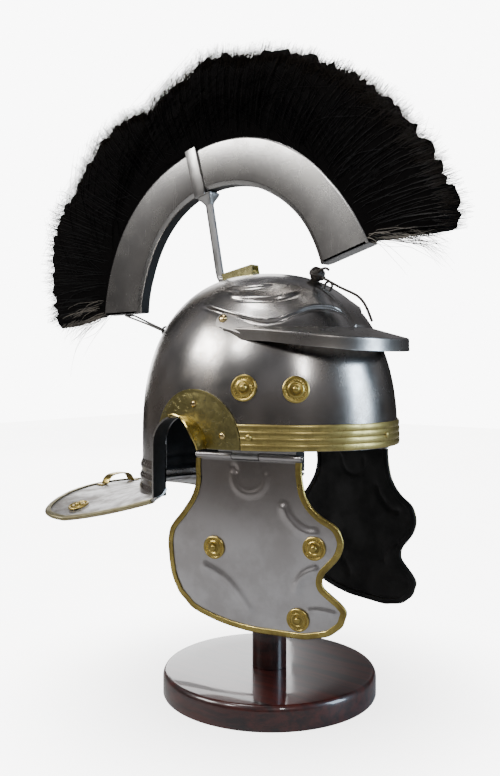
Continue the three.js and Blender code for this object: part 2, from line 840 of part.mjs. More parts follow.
function neckBoss(x, y) {
  const step = 3;
  const slopeX = (neckHeight(x + step, y) - neckHeight(x - step, y)) / (2 * step);
  const slopeY = (neckHeight(x, y + step) - neckHeight(x, y - step)) / (2 * step);
  const normal = vec(-slopeX, -slopeY, 1).normalize();
  let lift = 0;
  for (let k = 0; k < 12; k += 1) {
    const turn = (Math.PI * k) / 6;
    const [dx, dy] = [NECK_BOSS_RADIUS * Math.cos(turn), NECK_BOSS_RADIUS * Math.sin(turn)];
    const plane = neckHeight(x, y) + slopeX * dx + slopeY * dy;
    lift = Math.max(lift, neckHeight(x + dx, y + dy) - plane);
  }
  const place = vec(x, y, neckHeight(x, y)).addScaledVector(normal, lift + 3 * GAP);
  return placeBoss(NECK_BOSS_RADIUS, place, normal);
}

// A small carrying handle on the neck guard: a brass strip arched between two feet.
function makeHandle() {
  const half = 26;
  const x = NECK_REAR_X + 13;
  const arch = [];
  const under = [];
  for (const [share, lift] of [
    [-1, 1.6],
    [-0.72, 1.6],
    [-0.62, 6],
    [-0.4, 9.5],
    [0, 10.5],
    [0.4, 9.5],
    [0.62, 6],
    [0.72, 1.6],
    [1, 1.6],
  ]) {
    const y = share * half;
    arch.push([y, lift]);
    under.push([y - Math.sign(share) * (lift > 2 && lift < 9 ? 1.4 : 0), lift - 1.3]);
  }
  const section = [...arch, ...under.reverse()];
  const zAt = (y) => neckHeight(x, y) + GAP;
  const ring = (px) => section.map(([y, lift]) => [px, y, lift + zAt(y)]);
  return loft([ring(x - 5), ring(x + 5)]);
}

// Cheek guards, made on the left side

// Edges of the plate at each share of its drop: rear and front along the hinge, as shares of
// the hinge's length.
const CHEEK_ROWS = [
  { drop: 0, rear: 0.007, front: 0.988 },
  { drop: 0.06, rear: 0.007, front: 0.989 },
  { drop: 0.13, rear: 0.012, front: 1.005 },
  { drop: 0.19, rear: -0.006, front: 1.031 },
  { drop: 0.25, rear: -0.046, front: 1.09 },
  { drop: 0.3, rear: -0.098, front: 1.176 },
  { drop: 0.345, rear: -0.149, front: 1.294 },
  { drop: 0.39, rear: -0.21, front: 1.34 },
  { drop: 0.435, rear: -0.257, front: 1.358 },
  { drop: 0.48, rear: -0.275, front: 1.346 },
  { drop: 0.525, rear: -0.283, front: 1.312 },
  { drop: 0.57, rear: -0.279, front: 1.253 },
  { drop: 0.615, rear: -0.274, front: 1.193 },
  { drop: 0.66, rear: -0.266, front: 1.171 },
  { drop: 0.7, rear: -0.256, front: 1.187 },
  { drop: 0.74, rear: -0.237, front: 1.257 },
  { drop: 0.78, rear: -0.21, front: 1.334 },
  { drop: 0.82, rear: -0.178, front: 1.381 },
  { drop: 0.86, rear: -0.117, front: 1.368 },
  { drop: 0.9, rear: -0.054, front: 1.344 },
  { drop: 0.935, rear: 0.07, front: 1.286 },
  { drop: 0.965, rear: 0.217, front: 1.217 },
  { drop: 0.987, rear: 0.39, front: 1.09 },
  { drop: 1, rear: 0.6, front: 0.97 },
];

const CHEEK_TOP = KNUCKLE_RADIUS + GAP + 0.2;
const CHEEK_COLUMNS = 3;

// A frame at the rear end of the hinge line: x along the hinge, y outwards, z up.
function hingeFrame() {
  const turn = rad(-HINGE_TURN);
  return new THREE.Matrix4()
    .makeTranslation(HINGE_X, HINGE_Y, HINGE_Z)
    .multiply(new THREE.Matrix4().makeRotationZ(turn));
}

// How far the plate stands off its hinge plane: bulged in the middle, drawn in at the foot.
function cheekOut(s, drop) {
  const along = s / HINGE_LENGTH;
  const across = 1 - THREE.MathUtils.clamp((along - 0.5) / 0.9, -1, 1) ** 2;
  const deep = Math.sin(Math.PI * THREE.MathUtils.clamp(drop, 0, 1)) ** 1.2;
  return CHEEK_BULGE * across * deep - CHEEK_TOE * drop * drop;
}

function cheekPoint(s, drop, out) {
  const z = -CHEEK_TOP - drop * (CHEEK_DROP - CHEEK_TOP);
  return vec(s, cheekOut(s, drop) + out, z).applyMatrix4(hingeFrame()).toArray();
}

function cheekGrid(out) {
  return CHEEK_ROWS.map(({ drop, rear, front }) => {
    const row = [];
    for (let k = 0; k <= CHEEK_COLUMNS; k += 1) {
      row.push(cheekPoint(lerp(rear, front, k / CHEEK_COLUMNS) * HINGE_LENGTH, drop, out));
    }
    return row;
  });
}

// The share of the hinge's length where each knuckle starts and ends.
const KNUCKLES = { first: 0.35, second: 0.61 };

// A tube or rod along the hinge line between two shares of its length.
function hingeRod(from, to, radius, inner = 0) {
  const length = (to - from) * HINGE_LENGTH;
  const outerRod = new THREE.CylinderGeometry(radius, radius, length, 14);
  let rod = solid(placeOnHinge(outerRod, from, to));
  if (inner) {
    const bore = new THREE.CylinderGeometry(inner, inner, length + 2, 14);
    rod = rod.subtract(solid(placeOnHinge(bore, from, to)));
  }
  return rod;
}

function placeOnHinge(geometry, from, to) {
  return geometry
    .rotateZ(Math.PI / 2)
    .translate(((from + to) / 2) * HINGE_LENGTH, 0, 0)
    .applyMatrix4(hingeFrame());
}

// A flat strip in the hinge plane, between two shares of the length and two heights.
function hingeStrip(from, to, lowZ, highZ, thickness) {
  const length = (to - from) * HINGE_LENGTH;
  const geometry = new THREE.BoxGeometry(length, thickness, highZ - lowZ);
  geometry.translate(((from + to) / 2) * HINGE_LENGTH, 0, (lowZ + highZ) / 2);
  return solid(geometry.applyMatrix4(hingeFrame()));
}

function makeCheekPlate() {
  const half = CHEEK_THICKNESS / 2;
  const plate = sheet(cheekGrid(half), cheekGrid(-half));
  const slack = GAP / HINGE_LENGTH;
  const bore = PIN_RADIUS + GAP;
  const parts = [plate];
  const { rear, front } = CHEEK_ROWS[0];
  for (const [from, to] of [
    [0, KNUCKLES.first - slack],
    [KNUCKLES.second + slack, 1],
  ]) {
    const ends = [Math.max(from, rear), Math.min(to, front)];
    const strip = hingeStrip(...ends, -CHEEK_TOP - 0.3, -bore, CHEEK_THICKNESS);
    parts.push(strip.subtract(hingeRod(-0.1, 1.1, bore)));
    parts.push(hingeRod(from, to, KNUCKLE_RADIUS, bore));
  }
  return join(parts);
}

function makeHingeLeaf() {
  const slack = GAP / HINGE_LENGTH;
  const { first, second } = KNUCKLES;
  const bore = PIN_RADIUS + GAP;
  const barrel = hingeRod(first + slack, second - slack, KNUCKLE_RADIUS, bore);
  const low = KNUCKLE_RADIUS + 2 * GAP;
  const high = RIM_Z - HINGE_Z - GAP * 2;
  const strip = hingeStrip(0.05, 0.95, low, high + 6, 1.2);
  const neck = hingeStrip(first + slack, second - slack, bore + 0.3, high, 1.2);
  const shelf = new THREE.BoxGeometry(HINGE_LENGTH * 0.8, 40, 1.2);
  shelf.translate(HINGE_LENGTH / 2, 20 - 0.6, high + 5.4).applyMatrix4(hingeFrame());
  const inside = bowlForm(-WALL - GAP);
  const ear = prismXZ(earArch(GAP, RIM_Z - 60), 40, BOWL_HALF_WIDTH + 12);
  const bracket = join([strip, solid(shelf)]).intersect(inside);
  return join([barrel, neck, bracket.subtract(ear)]);
}

function makeHingePin() {
  return hingeRod(-0.012, 1.012, PIN_RADIUS);
}

// Places along the outline of the cheek plate, from the rear of the hinge round to the front.
function cheekEdge() {
  const rear = CHEEK_ROWS.map(({ drop, rear: s }) => ({ s: s * HINGE_LENGTH, drop }));
  const front = CHEEK_ROWS.map(({ drop, front: s }) => ({ s: s * HINGE_LENGTH, drop }));
  return [...rear, ...front.reverse()];
}

function makeCheekEdging() {
  const edge = cheekEdge();
  const point = ({ s, drop }) => vec(...cheekPoint(s, drop, 0));
  const places = edge.map((spot, k) => {
    const at = point(spot);
    const before = point(edge[Math.max(0, k - 1)]);
    const after = point(edge[Math.min(edge.length - 1, k + 1)]);
    const along = after.clone().sub(before).normalize();
    const du = vec(...cheekPoint(spot.s + 2, spot.drop, 0)).sub(at);
    const dv = vec(...cheekPoint(spot.s, spot.drop - 0.01, 0)).sub(at);
    const normal = dv.cross(du).normalize();
    if (normal.y < 0) normal.negate();
    const into = along.clone().cross(normal).normalize();
    return { at, into, normal, along };
  });
  const middle = point({ s: HINGE_LENGTH * 0.5, drop: 0.4 });
  const sample = places[0];
  if (sample.into.dot(middle.clone().sub(sample.at)) < 0) {
    for (const place of places) place.into.negate();
  }
  return binding(places, CHEEK_THICKNESS);
}

function cheekBoss(s, drop) {
  const at = vec(...cheekPoint(s, drop, CHEEK_THICKNESS / 2));
  const du = vec(...cheekPoint(s + 2, drop, CHEEK_THICKNESS / 2)).sub(at);
  const dv = vec(...cheekPoint(s, drop - 0.01, CHEEK_THICKNESS / 2)).sub(at);
  const normal = dv.cross(du).normalize();
  if (normal.y < 0) normal.negate();
  return placeBoss(CHEEK_BOSS_RADIUS, at.addScaledVector(normal, 2 * GAP), normal);
}

// Crest

// Sections of the crest box: the turn in degrees, and the inner and outer radius as shares.
const CREST_SECTIONS = [
  { turn: 181.5, inner: 0.988, outer: 1.04 },
  { turn: 172, inner: 0.978, outer: 1.024 },
  { turn: 162, inner: 0.968, outer: 1.012 },
  { turn: 152, inner: 0.97, outer: 1.006 },
  { turn: 142, inner: 0.98, outer: 1.002 },
  { turn: 132, inner: 0.99, outer: 0.998 },
  { turn: 122, inner: 0.998, outer: 0.994 },
  { turn: 112, inner: 1.005, outer: 0.99 },
  { turn: 102, inner: 1.008, outer: 0.988 },
  { turn: 92, inner: 1.008, outer: 0.994 },
  { turn: 82, inner: 1.008, outer: 1.0 },
  { turn: 72, inner: 1.008, outer: 1.002 },
  { turn: 62, inner: 1.004, outer: 0.998 },
  { turn: 52, inner: 1.002, outer: 0.994 },
  { turn: 42, inner: 1.0, outer: 0.99 },
  { turn: 32, inner: 0.992, outer: 0.998 },
  { turn: 24, inner: 0.986, outer: 1.01 },
  { turn: 17, inner: 0.984, outer: 1.026 },
];

// Inner and outer radius of the crest box at a turn.
function crestRadii(turn) {
  const list = CREST_SECTIONS;
  let k = list.findIndex((s) => s.turn <= turn);
  if (k < 0) k = list.length - 1;
  if (k === 0) k = 1;
  const [a, b] = [list[k - 1], list[k]];
  const share = THREE.MathUtils.clamp((a.turn - turn) / (a.turn - b.turn), 0, 1);
  const inside = CREST_RADIUS - CREST_DEPTH;
  return {
    inner: inside * lerp(a.inner, b.inner, share),
    outer: CREST_RADIUS * lerp(a.outer, b.outer, share),
  };
}

function crestPoint(turn, radius, y) {
  return [
    CREST_X + CREST_STRETCH * radius * Math.cos(rad(turn)),
    y,
    CREST_Z + radius * Math.sin(rad(turn)),
  ];
}

function makeCrestBox() {
  const half = CREST_WIDTH / 2;
  const rings = CREST_SECTIONS.map(({ turn }) => {
    const { inner, outer } = crestRadii(turn);
    const point = (radius, y) => crestPoint(turn, radius, y);
    const slim = CREST_WALL * 0.6;
    const outside = [
      point(outer, -half + slim),
      point(outer - CREST_BEVEL * 0.6, -half),
      point(inner + CREST_BEVEL, -half),
      point(inner, -half + CREST_BEVEL / 2),
      point(inner, half - CREST_BEVEL / 2),
      point(inner + CREST_BEVEL, half),
      point(outer - CREST_BEVEL * 0.6, half),
      point(outer, half - slim),
    ];
    const channel = [
      point(outer, half - CREST_WALL),
      point(inner + CREST_WALL, half - CREST_WALL),
      point(inner + CREST_WALL, -half + CREST_WALL),
      point(outer, -half + CREST_WALL),
    ];
    return { outside, whole: [...outside, ...channel] };
  });
  const ends = [rings[0], rings[rings.length - 1]].map(({ outside }, k) => {
    const shift = ((k ? 1 : -1) * CREST_END * Math.PI) / 180;
    const inwards = outside.map(([x, y, z]) => {
      const [dx, dz] = [(x - CREST_X) / CREST_STRETCH, z - CREST_Z];
      const [cos, sin] = [Math.cos(shift), Math.sin(shift)];
      return [
        CREST_X + CREST_STRETCH * (dx * cos - dz * sin),
        y,
        CREST_Z + dx * sin + dz * cos,
      ];
    });
    return loft([outside, inwards]);
  });
  return join([loft(rings.map(({ whole }) => whole)), ...ends]);
}

// Outline of the hair: the turn in degrees and the hair's length past the box as a share.
const HAIR_OUTLINE = [
  { turn: 186, length: 0.97 },
  { turn: 178, length: 1.11 },
  { turn: 170, length: 1.23 },
  { turn: 162, length: 1.33 },
  { turn: 157, length: 1.35 },
  { turn: 147, length: 1.2 },
  { turn: 142, length: 1.2 },
  { turn: 135, length: 1.19 },
  { turn: 128, length: 1.13 },
  { turn: 122, length: 1.02 },
  { turn: 115, length: 0.82 },
  { turn: 113, length: 0.93 },
  { turn: 103, length: 0.96 },
  { turn: 97, length: 1.07 },
  { turn: 84, length: 0.96 },
  { turn: 74, length: 0.98 },
  { turn: 60, length: 0.97 },
  { turn: 46, length: 1.01 },
  { turn: 30, length: 1.02 },
  { turn: 18, length: 1.03 },
  { turn: 10, length: 0.91 },
];

function hairLength(turn) {
  const list = HAIR_OUTLINE;
  let k = list.findIndex((s) => s.turn <= turn);
  if (k < 0) k = list.length - 1;
  if (k === 0) k = 1;
  const [a, b] = [list[k - 1], list[k]];
  const share = THREE.MathUtils.clamp((a.turn - turn) / (a.turn - b.turn), 0, 1);
  return HAIR_LENGTH * lerp(a.length, b.length, share);
}

// Sections of one lock: the share of its length, its breadth and its thickness.
const LOCK_SECTIONS = [
  { along: 0, broad: 0.92, thick: 0.28 },
  { along: 0.42, broad: 1.12, thick: 0.9 },
  { along: 0.86, broad: 1.02, thick: 1.0 },
  { along: 1, broad: 0.4, thick: 0.45 },
];

// One lock of hair from the mouth of the box outwards.
function hairLock(turn, spread, leanTurn) {
  const base = crestRadii(turn).outer - 2;
  const length = hairLength(leanTurn) + 2;
  const rings = LOCK_SECTIONS.map(({ along, broad, thick }) => {
    const middle = lerp(turn, leanTurn, along);
    const radius = base + along * length;
    const half = (spread * broad) / 2;
    const wide = (HAIR_WIDTH * thick) / 2;
    const point = (share, y) => crestPoint(middle + share * half, radius, y * wide);
    return [
      point(-1, -0.55),
      point(0, -1),
      point(1, -0.55),
      point(1, 0.55),
      point(0, 1),
      point(-1, 0.55),
    ];
  });
  return loft(rings);
}

function makeCrestHair() {
  const half = CREST_WIDTH / 2 - CREST_WALL - GAP;
  const clear = CREST_END + 0.25;
  const first = CREST_SECTIONS[0].turn - clear;
  const last = CREST_SECTIONS[CREST_SECTIONS.length - 1].turn + clear;
  const turns = [first, ...CREST_SECTIONS.slice(1, -1).map((s) => s.turn), last];
  const rings = turns.map((turn) => {
    const { inner, outer } = crestRadii(turn);
    const low = inner + CREST_WALL + GAP;
    return [
      crestPoint(turn, low, -half),
      crestPoint(turn, low, half),
      crestPoint(turn, outer, half),
      crestPoint(turn, outer, -half),
    ];
  });
  const pieces = [loft(rings)];
  const spread = (first - last) / HAIR_LOCKS;
  for (let k = 0; k < HAIR_LOCKS; k += 1) {
    const share = (k + 0.5) / HAIR_LOCKS;
    const turn = lerp(first, last, share);
    const lean = lerp(first + 3.5, last - 5.5, share);
    pieces.push(hairLock(turn, spread * 1.04, lean));
  }
  return join(pieces);
}

// The frame of the key box: x along it towards the front, z up from it.
function keyFrame() {
  const lift = bowlHeight(KEY_X, 0) + KEY_HEIGHT / 2 - 0.5 * GAP;
  return new THREE.Matrix4()
    .makeTranslation(KEY_X, 0, lift)
    .multiply(new THREE.Matrix4().makeRotationY(-rad(KEY_TILT)));
}

function keyBlock(sizeX, sizeY, sizeZ, x, y, z) {
  const geometry = new THREE.BoxGeometry(sizeX, sizeY, sizeZ).translate(x, y, z);
  return solid(geometry.applyMatrix4(keyFrame()));
}

function makeKeyPlate() {
  const tube = keyBlock(KEY_LENGTH, KEY_WIDTH, KEY_HEIGHT, 0, 0, 0);
  const bore = keyBlock(
    KEY_LENGTH + 4,
    KEY_WIDTH - 2 * KEY_WALL,
    KEY_HEIGHT - 2 * KEY_WALL,
    0,
    0,
    0,
  );
  return tube.subtract(bore).subtract(bowlForm(GAP));
}

function makeCrestSupport() {
  const half = CREST_WIDTH / 2 + GAP;
  const { inner, outer } = crestRadii(STRAP_ANGLE);
  const radial = vec(Math.cos(rad(STRAP_ANGLE)), 0, Math.sin(rad(STRAP_ANGLE)));
  const along = vec(radial.z, 0, -radial.x);
  const corner = (radius, y, side) => {
    const place = crestPoint(STRAP_ANGLE, radius, y);
    return vec(...place)
      .addScaledVector(along, (side * STRAP_WIDTH) / 2)
      .toArray();
  };
  const low = inner - 3 * GAP - STRAP_THICKNESS;
  const high = outer + 3;
  const wide = half + STRAP_THICKNESS;
  const section = [
    [high, wide],
    [low, wide],
    [low, -wide],
    [high, -wide],
    [high, -half],
    [low + STRAP_THICKNESS, -half],
    [low + STRAP_THICKNESS, half],
    [high, half],
  ];
  const strap = loft([-1, 1].map((side) => section.map(([r, y]) => corner(r, y, side))));
  const root = vec(...crestPoint(STRAP_ANGLE - 1.3, low + 1, 0));
  const frame = keyFrame();
  const foot = vec(-KEY_LENGTH / 2 - ROD_RADIUS - 2.5, 0, 0).applyMatrix4(frame);
  const tongueEnd = vec(KEY_LENGTH / 2 - 6, 0, 0).applyMatrix4(frame);
  const down = foot.clone().sub(root).normalize();
  const collar = loft(
    [
      { step: 0, size: 2.1 },
      { step: 3, size: 2.0 },
      { step: 9, size: 1.05 },
    ].map(({ step, size }) => {
      const middle = root.clone().addScaledVector(down, step);
      const r = ROD_RADIUS * size;
      return [
        [-1, -1],
        [1, -1],
        [1, 1],
        [-1, 1],
      ].map(([a, b]) =>
        middle
          .clone()
          .addScaledVector(along, a * r)
          .add(vec(0, b * r, 0))
          .toArray(),
      );
    }),
  );
  const bend = [];
  const low1 = foot.clone().addScaledVector(down, -12);
  for (const p of [root.clone().addScaledVector(down, 5), low1]) bend.push(p);
  bend.push(foot.clone().addScaledVector(down, -4));
  const forward = tongueEnd.clone().sub(foot).normalize();
  bend.push(foot.clone().addScaledVector(forward, 1.2).addScaledVector(down, -0.6));
  bend.push(foot.clone().addScaledVector(forward, 5));
  const rod = solid(wire(bend, ROD_RADIUS, 10, 22));
  const clear = keyBlock(
    KEY_LENGTH + 1,
    KEY_WIDTH + 2,
    KEY_HEIGHT + 4,
    GAP / 2 + 0.1,
    0,
    0,
  );
  const tongue = keyBlock(
    KEY_LENGTH + 1,
    KEY_WIDTH - 2 * KEY_WALL - 2 * GAP,
    KEY_HEIGHT - 2 * KEY_WALL - 2 * GAP,
    -6,
    0,
    0,
  );
  return join([strap, collar, rod.subtract(clear), tongue]).subtract(bowlForm(GAP));
}

// Fastenings of the crest

function ringGeometry(radius, wireRadius) {
  return new THREE.TorusGeometry(radius, wireRadius, 6, 14);
}

const HOOK_X = -131;
const HOOK_Z = 333;
const RING_RADIUS = 4.4;

// The eye behind the bowl: a shank from the wall with a ring at its end.
function makeRearRing() {
  const ring = solid(
    ringGeometry(RING_RADIUS, WIRE_RADIUS).rotateX(Math.PI / 2).translate(HOOK_X, 0, HOOK_Z),
  );
  const from = vec(HOOK_X + RING_RADIUS, 0, HOOK_Z);
  const to = vec(BOWL_X - BOWL_HALF_LENGTH * planShare(HOOK_Z) + 4, 0, HOOK_Z);
  const middle = from.clone().lerp(to, 0.5);
  const shank = solid(wire([from, middle, to], WIRE_RADIUS * 1.15, 8, 4));
  return join([ring, shank]).subtract(bowlForm(GAP));
}

// The wire loop that ties the back end of the crest box to the eye.
function makeRearHook() {
  const { inner, outer } = crestRadii(CREST_SECTIONS[0].turn);
  const radius = (inner + outer) / 2 - 4;
  const end = vec(...crestPoint(CREST_SECTIONS[0].turn, radius, 0));
  const top = end.z - 0.9 * WIRE_RADIUS - 1.1 * GAP;
  const spread = CREST_WIDTH / 2 - 1;
  const seat = RING_RADIUS - 1.9 * WIRE_RADIUS - GAP;
  const points = [
    vec(HOOK_X - seat - 1.2, -2.6, HOOK_Z + 1),
    vec(HOOK_X - seat, 0, HOOK_Z),
    vec(HOOK_X - seat - 1.2, 2.6, HOOK_Z + 1),
    vec(lerp(HOOK_X, end.x, 0.5), spread * 0.55, lerp(HOOK_Z, top, 0.5)),
    vec(end.x + 2, spread, top - 1),
    vec(end.x - 0.6, spread * 0.7, top),
    vec(end.x - 1, 0, top),
    vec(end.x - 0.6, -spread * 0.7, top),
    vec(end.x + 2, -spread, top - 1),
    vec(lerp(HOOK_X, end.x, 0.5), -spread * 0.55, lerp(HOOK_Z, top, 0.5)),
  ];
  return solid(wire(points, WIRE_RADIUS * 0.9, 6, 30, true));
}

const KNOT_X = 52;
const KNOT_Z = bowlHeight(KNOT_X, 0) + 6.8;

// The staple on the bowl under the front end of the crest box.
function makeFrontRing() {
  const x = KNOT_X + 12;
  const z = bowlHeight(x, 0) + 2.4;
  const ring = solid(ringGeometry(3.6, WIRE_RADIUS).rotateX(Math.PI / 2).translate(x, 0, z));
  return ring.subtract(bowlForm(GAP));
}

// The knotted thong: coils drawn round each other, with one short end.
function makeKnot() {
  const pieces = [];
  const core = new THREE.IcosahedronGeometry(5, 0);
  pieces.push(solid(core.translate(KNOT_X, 0, KNOT_Z)));
  for (const [tiltX, tiltZ, lift, size] of [
    [0.2, 0, 1.8, 5.6],
    [-0.3, 0.4, -1.8, 6.2],
    [1.45, 0.6, 0, 5.4],
  ]) {
    const coil = new THREE.TorusGeometry(size, THONG_RADIUS * 1.2, 5, 10);
    coil.rotateX(tiltX).rotateZ(tiltZ).rotateY(0.35);
    pieces.push(solid(coil.translate(KNOT_X, 0, KNOT_Z + lift)));
  }
  const tail = [
    vec(KNOT_X + 3, -3, KNOT_Z + 1),
    vec(KNOT_X + 8, -5, KNOT_Z + 3.4),
    vec(KNOT_X + 13, -6, KNOT_Z + 4),
    vec(KNOT_X + 16.5, -6.6, KNOT_Z + 2.2),
  ];
  pieces.push(solid(wire(tail, THONG_RADIUS, 7, 8)));
  return join(pieces).subtract(bowlForm(GAP));
}

// The free end of the thong, drawn by hand from the knot over the brow, each point by its drop
// under the knot.
const THONG_PATH = [
  { x: 59.2, y: -2.9, drop: 3.59 },
  { x: 64.2, y: -2.8, drop: 5.89 },
  { x: 68.4, y: -2.5, drop: 8.19 },
  { x: 72.5, y: -2.1, drop: 10.49 },
  { x: 76.5, y: -1.6, drop: 12.59 },
  { x: 80.6, y: -1.1, drop: 14.59 },
  { x: 84.8, y: -0.9, drop: 16.39 },
  { x: 89, y: -0.7, drop: 18.29 },
  { x: 93, y: -0.5, drop: 20.49 },
  { x: 96.6, y: -0.4, drop: 23.29 },
  { x: 99.6, y: -0.4, drop: 26.69 },
  { x: 102.1, y: -0.5, drop: 30.49 },
  { x: 104.2, y: -0.6, drop: 34.49 },
  { x: 106.1, y: -0.8, drop: 38.59 },
  { x: 108, y: -1, drop: 42.69 },
];

function makeThong() {
  const points = THONG_PATH.map(({ x, y, drop }) => vec(x, y, KNOT_Z - drop));
  return solid(wire(points, THONG_RADIUS, 8, 20));
}

// Stand

function makeStandBase() {
  const r = BASE_RADIUS;
  const h = BASE_HEIGHT;
  const socket = TENON_RADIUS + GAP;
  return turned(
    [
      [0, 0],
      [r - 1.2, 0],
      [r, 1.2],
      [r, h - 6],
      [r - 1.2, h - 2.4],
      [r - 4.2, h],
      [socket, h],
      [socket, h - TENON_DEPTH - GAP],
      [0, h - TENON_DEPTH - GAP],
    ],
    44,
  );
}

function makeStandPost() {
  const crown = (r) => bowlHeight(BOWL_X - r, 0, -WALL - 1.5 * GAP);
  const low = crown(0) - HEAD_RADIUS * 0.55;
  return turned(
    [
      [0, BASE_HEIGHT - TENON_DEPTH],
      [TENON_RADIUS, BASE_HEIGHT - TENON_DEPTH],
      [TENON_RADIUS, BASE_HEIGHT + GAP],
      [POST_RADIUS, BASE_HEIGHT + GAP],
      [POST_RADIUS, low - 14],
      [POST_RADIUS + 4, low - 5],
      [HEAD_RADIUS, low + 2],
      [HEAD_RADIUS, low + 9],
      [HEAD_RADIUS * 0.8, crown(HEAD_RADIUS) - GAP],
      [HEAD_RADIUS * 0.4, crown(HEAD_RADIUS * 0.6)],
      [0, crown(HEAD_RADIUS * 0.3)],
    ],
    24,
  );
}

// Materials and the whole

const COLOURS = {
  steel: { color: 0x8f8d8a, metalness: 0.9, roughness: 0.3 },
  brass: { color: 0xb39438, metalness: 0.85, roughness: 0.35 },
  wood: { color: 0x3a100c, metalness: 0, roughness: 0.25 },
  hair: { color: 0x141312, metalness: 0, roughness: 0.9 },
  leather: { color: 0x17140f, metalness: 0, roughness: 0.7 },
  blackened: { color: 0x2c2b2a, metalness: 0.7, roughness: 0.5 },
};

const helmet = new THREE.Group();

function addPiece(name, finish, made, parent = helmet) {
  const geometry = made.isBufferGeometry ? made : geometryOf(made);
  const mesh = new THREE.Mesh(geometry, new THREE.MeshStandardMaterial(COLOURS[finish]));
  mesh.name = name;
  parent.add(mesh);
  return mesh;
}

addPiece("stand_base", "wood", makeStandBase());
addPiece("stand_post", "wood", makeStandPost());
addPiece("bowl", "steel", makeBowl());
addPiece("neck_edging", "brass", makeNeckEdging());
addPiece("brow_band", "brass", makeBrowBand());
addPiece("brow_guard", "steel", makeBrowGuard());
addPiece("carrying_handle", "brass", makeHandle());
addPiece("crest_box", "steel", makeCrestBox());
addPiece("crest_hair", "hair", makeCrestHair());
addPiece("crest_support", "steel", makeCrestSupport());
addPiece("key_box", "brass", makeKeyPlate());
addPiece("rear_ring", "blackened", makeRearRing());
addPiece("rear_hook", "blackened", makeRearHook());
addPiece("front_ring", "steel", makeFrontRing());
addPiece("thong_knot", "leather", makeKnot());
addPiece("thong", "leather", makeThong());

const BOWL_BOSSES = [
  { name: "rear", turn: 67.4, z: 282 },
  { name: "front", turn: 46.1, z: 281 },
];
const CHEEK_BOSSES = [
  { name: "rear", s: 0.185, drop: 0.522 },
  { name: "front", s: 1.122, drop: 0.474 },
  { name: "low", s: 0.963, drop: 0.897 },
];
const SIDES = [
  { side: "left", sign: 1 },
  { side: "right", sign: -1 },
];

for (const { side, sign } of SIDES) {
  const sided = (made) => (sign > 0 ? made : mirrored(made));
  addPiece(`ear_guard_${side}`, "brass", sided(earGuard()));
  addPiece(`brow_rivet_${side}`, "brass", sided(makeBrowRivet()));
  for (const { name, turn, z } of BOWL_BOSSES) {
    addPiece(`bowl_boss_${name}_${side}`, "brass", sided(bowlBoss(turn, z)));
  }
  addPiece(`hinge_leaf_${side}`, "steel", sided(makeHingeLeaf()));
  addPiece(`hinge_pin_${side}`, "steel", sided(makeHingePin()));
  addPiece(`cheek_plate_${side}`, "steel", sided(makeCheekPlate()));
  addPiece(`cheek_edging_${side}`, "brass", sided(makeCheekEdging()));
  for (const { name, s, drop } of CHEEK_BOSSES) {
    const made = cheekBoss(s * HINGE_LENGTH, drop);
    addPiece(`cheek_boss_${name}_${side}`, "brass", sided(made));
  }
}

const NECK_BOSSES = [
  { name: "right", x: NECK_CORNER_X + 34, y: -0.93 * BOWL_HALF_WIDTH },
  { name: "left", x: NECK_CORNER_X + 34, y: 0.93 * BOWL_HALF_WIDTH },
];
for (const { name, x, y } of NECK_BOSSES) {
  addPiece(`neck_boss_${name}`, "brass", neckBoss(x, y));
}

export default helmet;
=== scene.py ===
"""Dresses the roman legionary helmet and its stand with metal, horsehair, wood, floor and light."""

import json
import logging
import math
from collections.abc import Callable, Iterator, Sequence
from contextlib import contextmanager
from dataclasses import dataclass
from enum import Enum

import bpy
import numpy as np
from mathutils import Matrix, Vector

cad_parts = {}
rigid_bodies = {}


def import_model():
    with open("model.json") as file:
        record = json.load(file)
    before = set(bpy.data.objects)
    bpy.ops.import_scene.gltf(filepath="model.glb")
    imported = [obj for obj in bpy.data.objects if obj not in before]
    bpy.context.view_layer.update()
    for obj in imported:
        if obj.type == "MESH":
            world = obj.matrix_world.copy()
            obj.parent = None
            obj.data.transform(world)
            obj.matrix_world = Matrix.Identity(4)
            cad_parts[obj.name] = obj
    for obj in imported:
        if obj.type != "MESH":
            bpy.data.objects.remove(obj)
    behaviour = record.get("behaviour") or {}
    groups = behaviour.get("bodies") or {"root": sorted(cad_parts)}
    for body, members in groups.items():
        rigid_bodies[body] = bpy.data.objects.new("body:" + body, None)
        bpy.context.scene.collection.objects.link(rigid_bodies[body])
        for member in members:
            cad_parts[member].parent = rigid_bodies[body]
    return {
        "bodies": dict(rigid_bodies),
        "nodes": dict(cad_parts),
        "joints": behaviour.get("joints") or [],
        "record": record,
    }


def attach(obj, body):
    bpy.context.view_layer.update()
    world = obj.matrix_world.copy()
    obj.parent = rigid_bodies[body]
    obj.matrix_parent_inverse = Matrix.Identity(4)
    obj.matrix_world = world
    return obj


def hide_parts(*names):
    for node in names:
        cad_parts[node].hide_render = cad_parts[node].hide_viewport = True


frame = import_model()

LOG = logging.getLogger("helmet")
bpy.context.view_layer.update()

Array = np.ndarray
Place = Callable[[Array, Array], Array]
Point = tuple[float, float, float]
Pair = tuple[float, float]
Piece = bpy.types.Object
Material = bpy.types.Material
Node = bpy.types.Node
Socket = bpy.types.NodeSocket
Tree = bpy.types.NodeTree


class Body(Enum):
    """The bodies of the frame that a piece can ride on."""

    HELMET = "helmet"
    CHEEK_RIGHT = "cheek_right"
    CHEEK_LEFT = "cheek_left"


class Side(Enum):
    """The wearer's two sides; the value is the sign of Y."""

    LEFT = 1
    RIGHT = -1

    @property
    def word(self) -> str:
        """The side as the nodes' names write it."""
        return self.name.lower()

    @property
    def cheek(self) -> Body:
        """The body of this side's cheek guard."""
        return Body.CHEEK_LEFT if self is Side.LEFT else Body.CHEEK_RIGHT


# Mesh tools


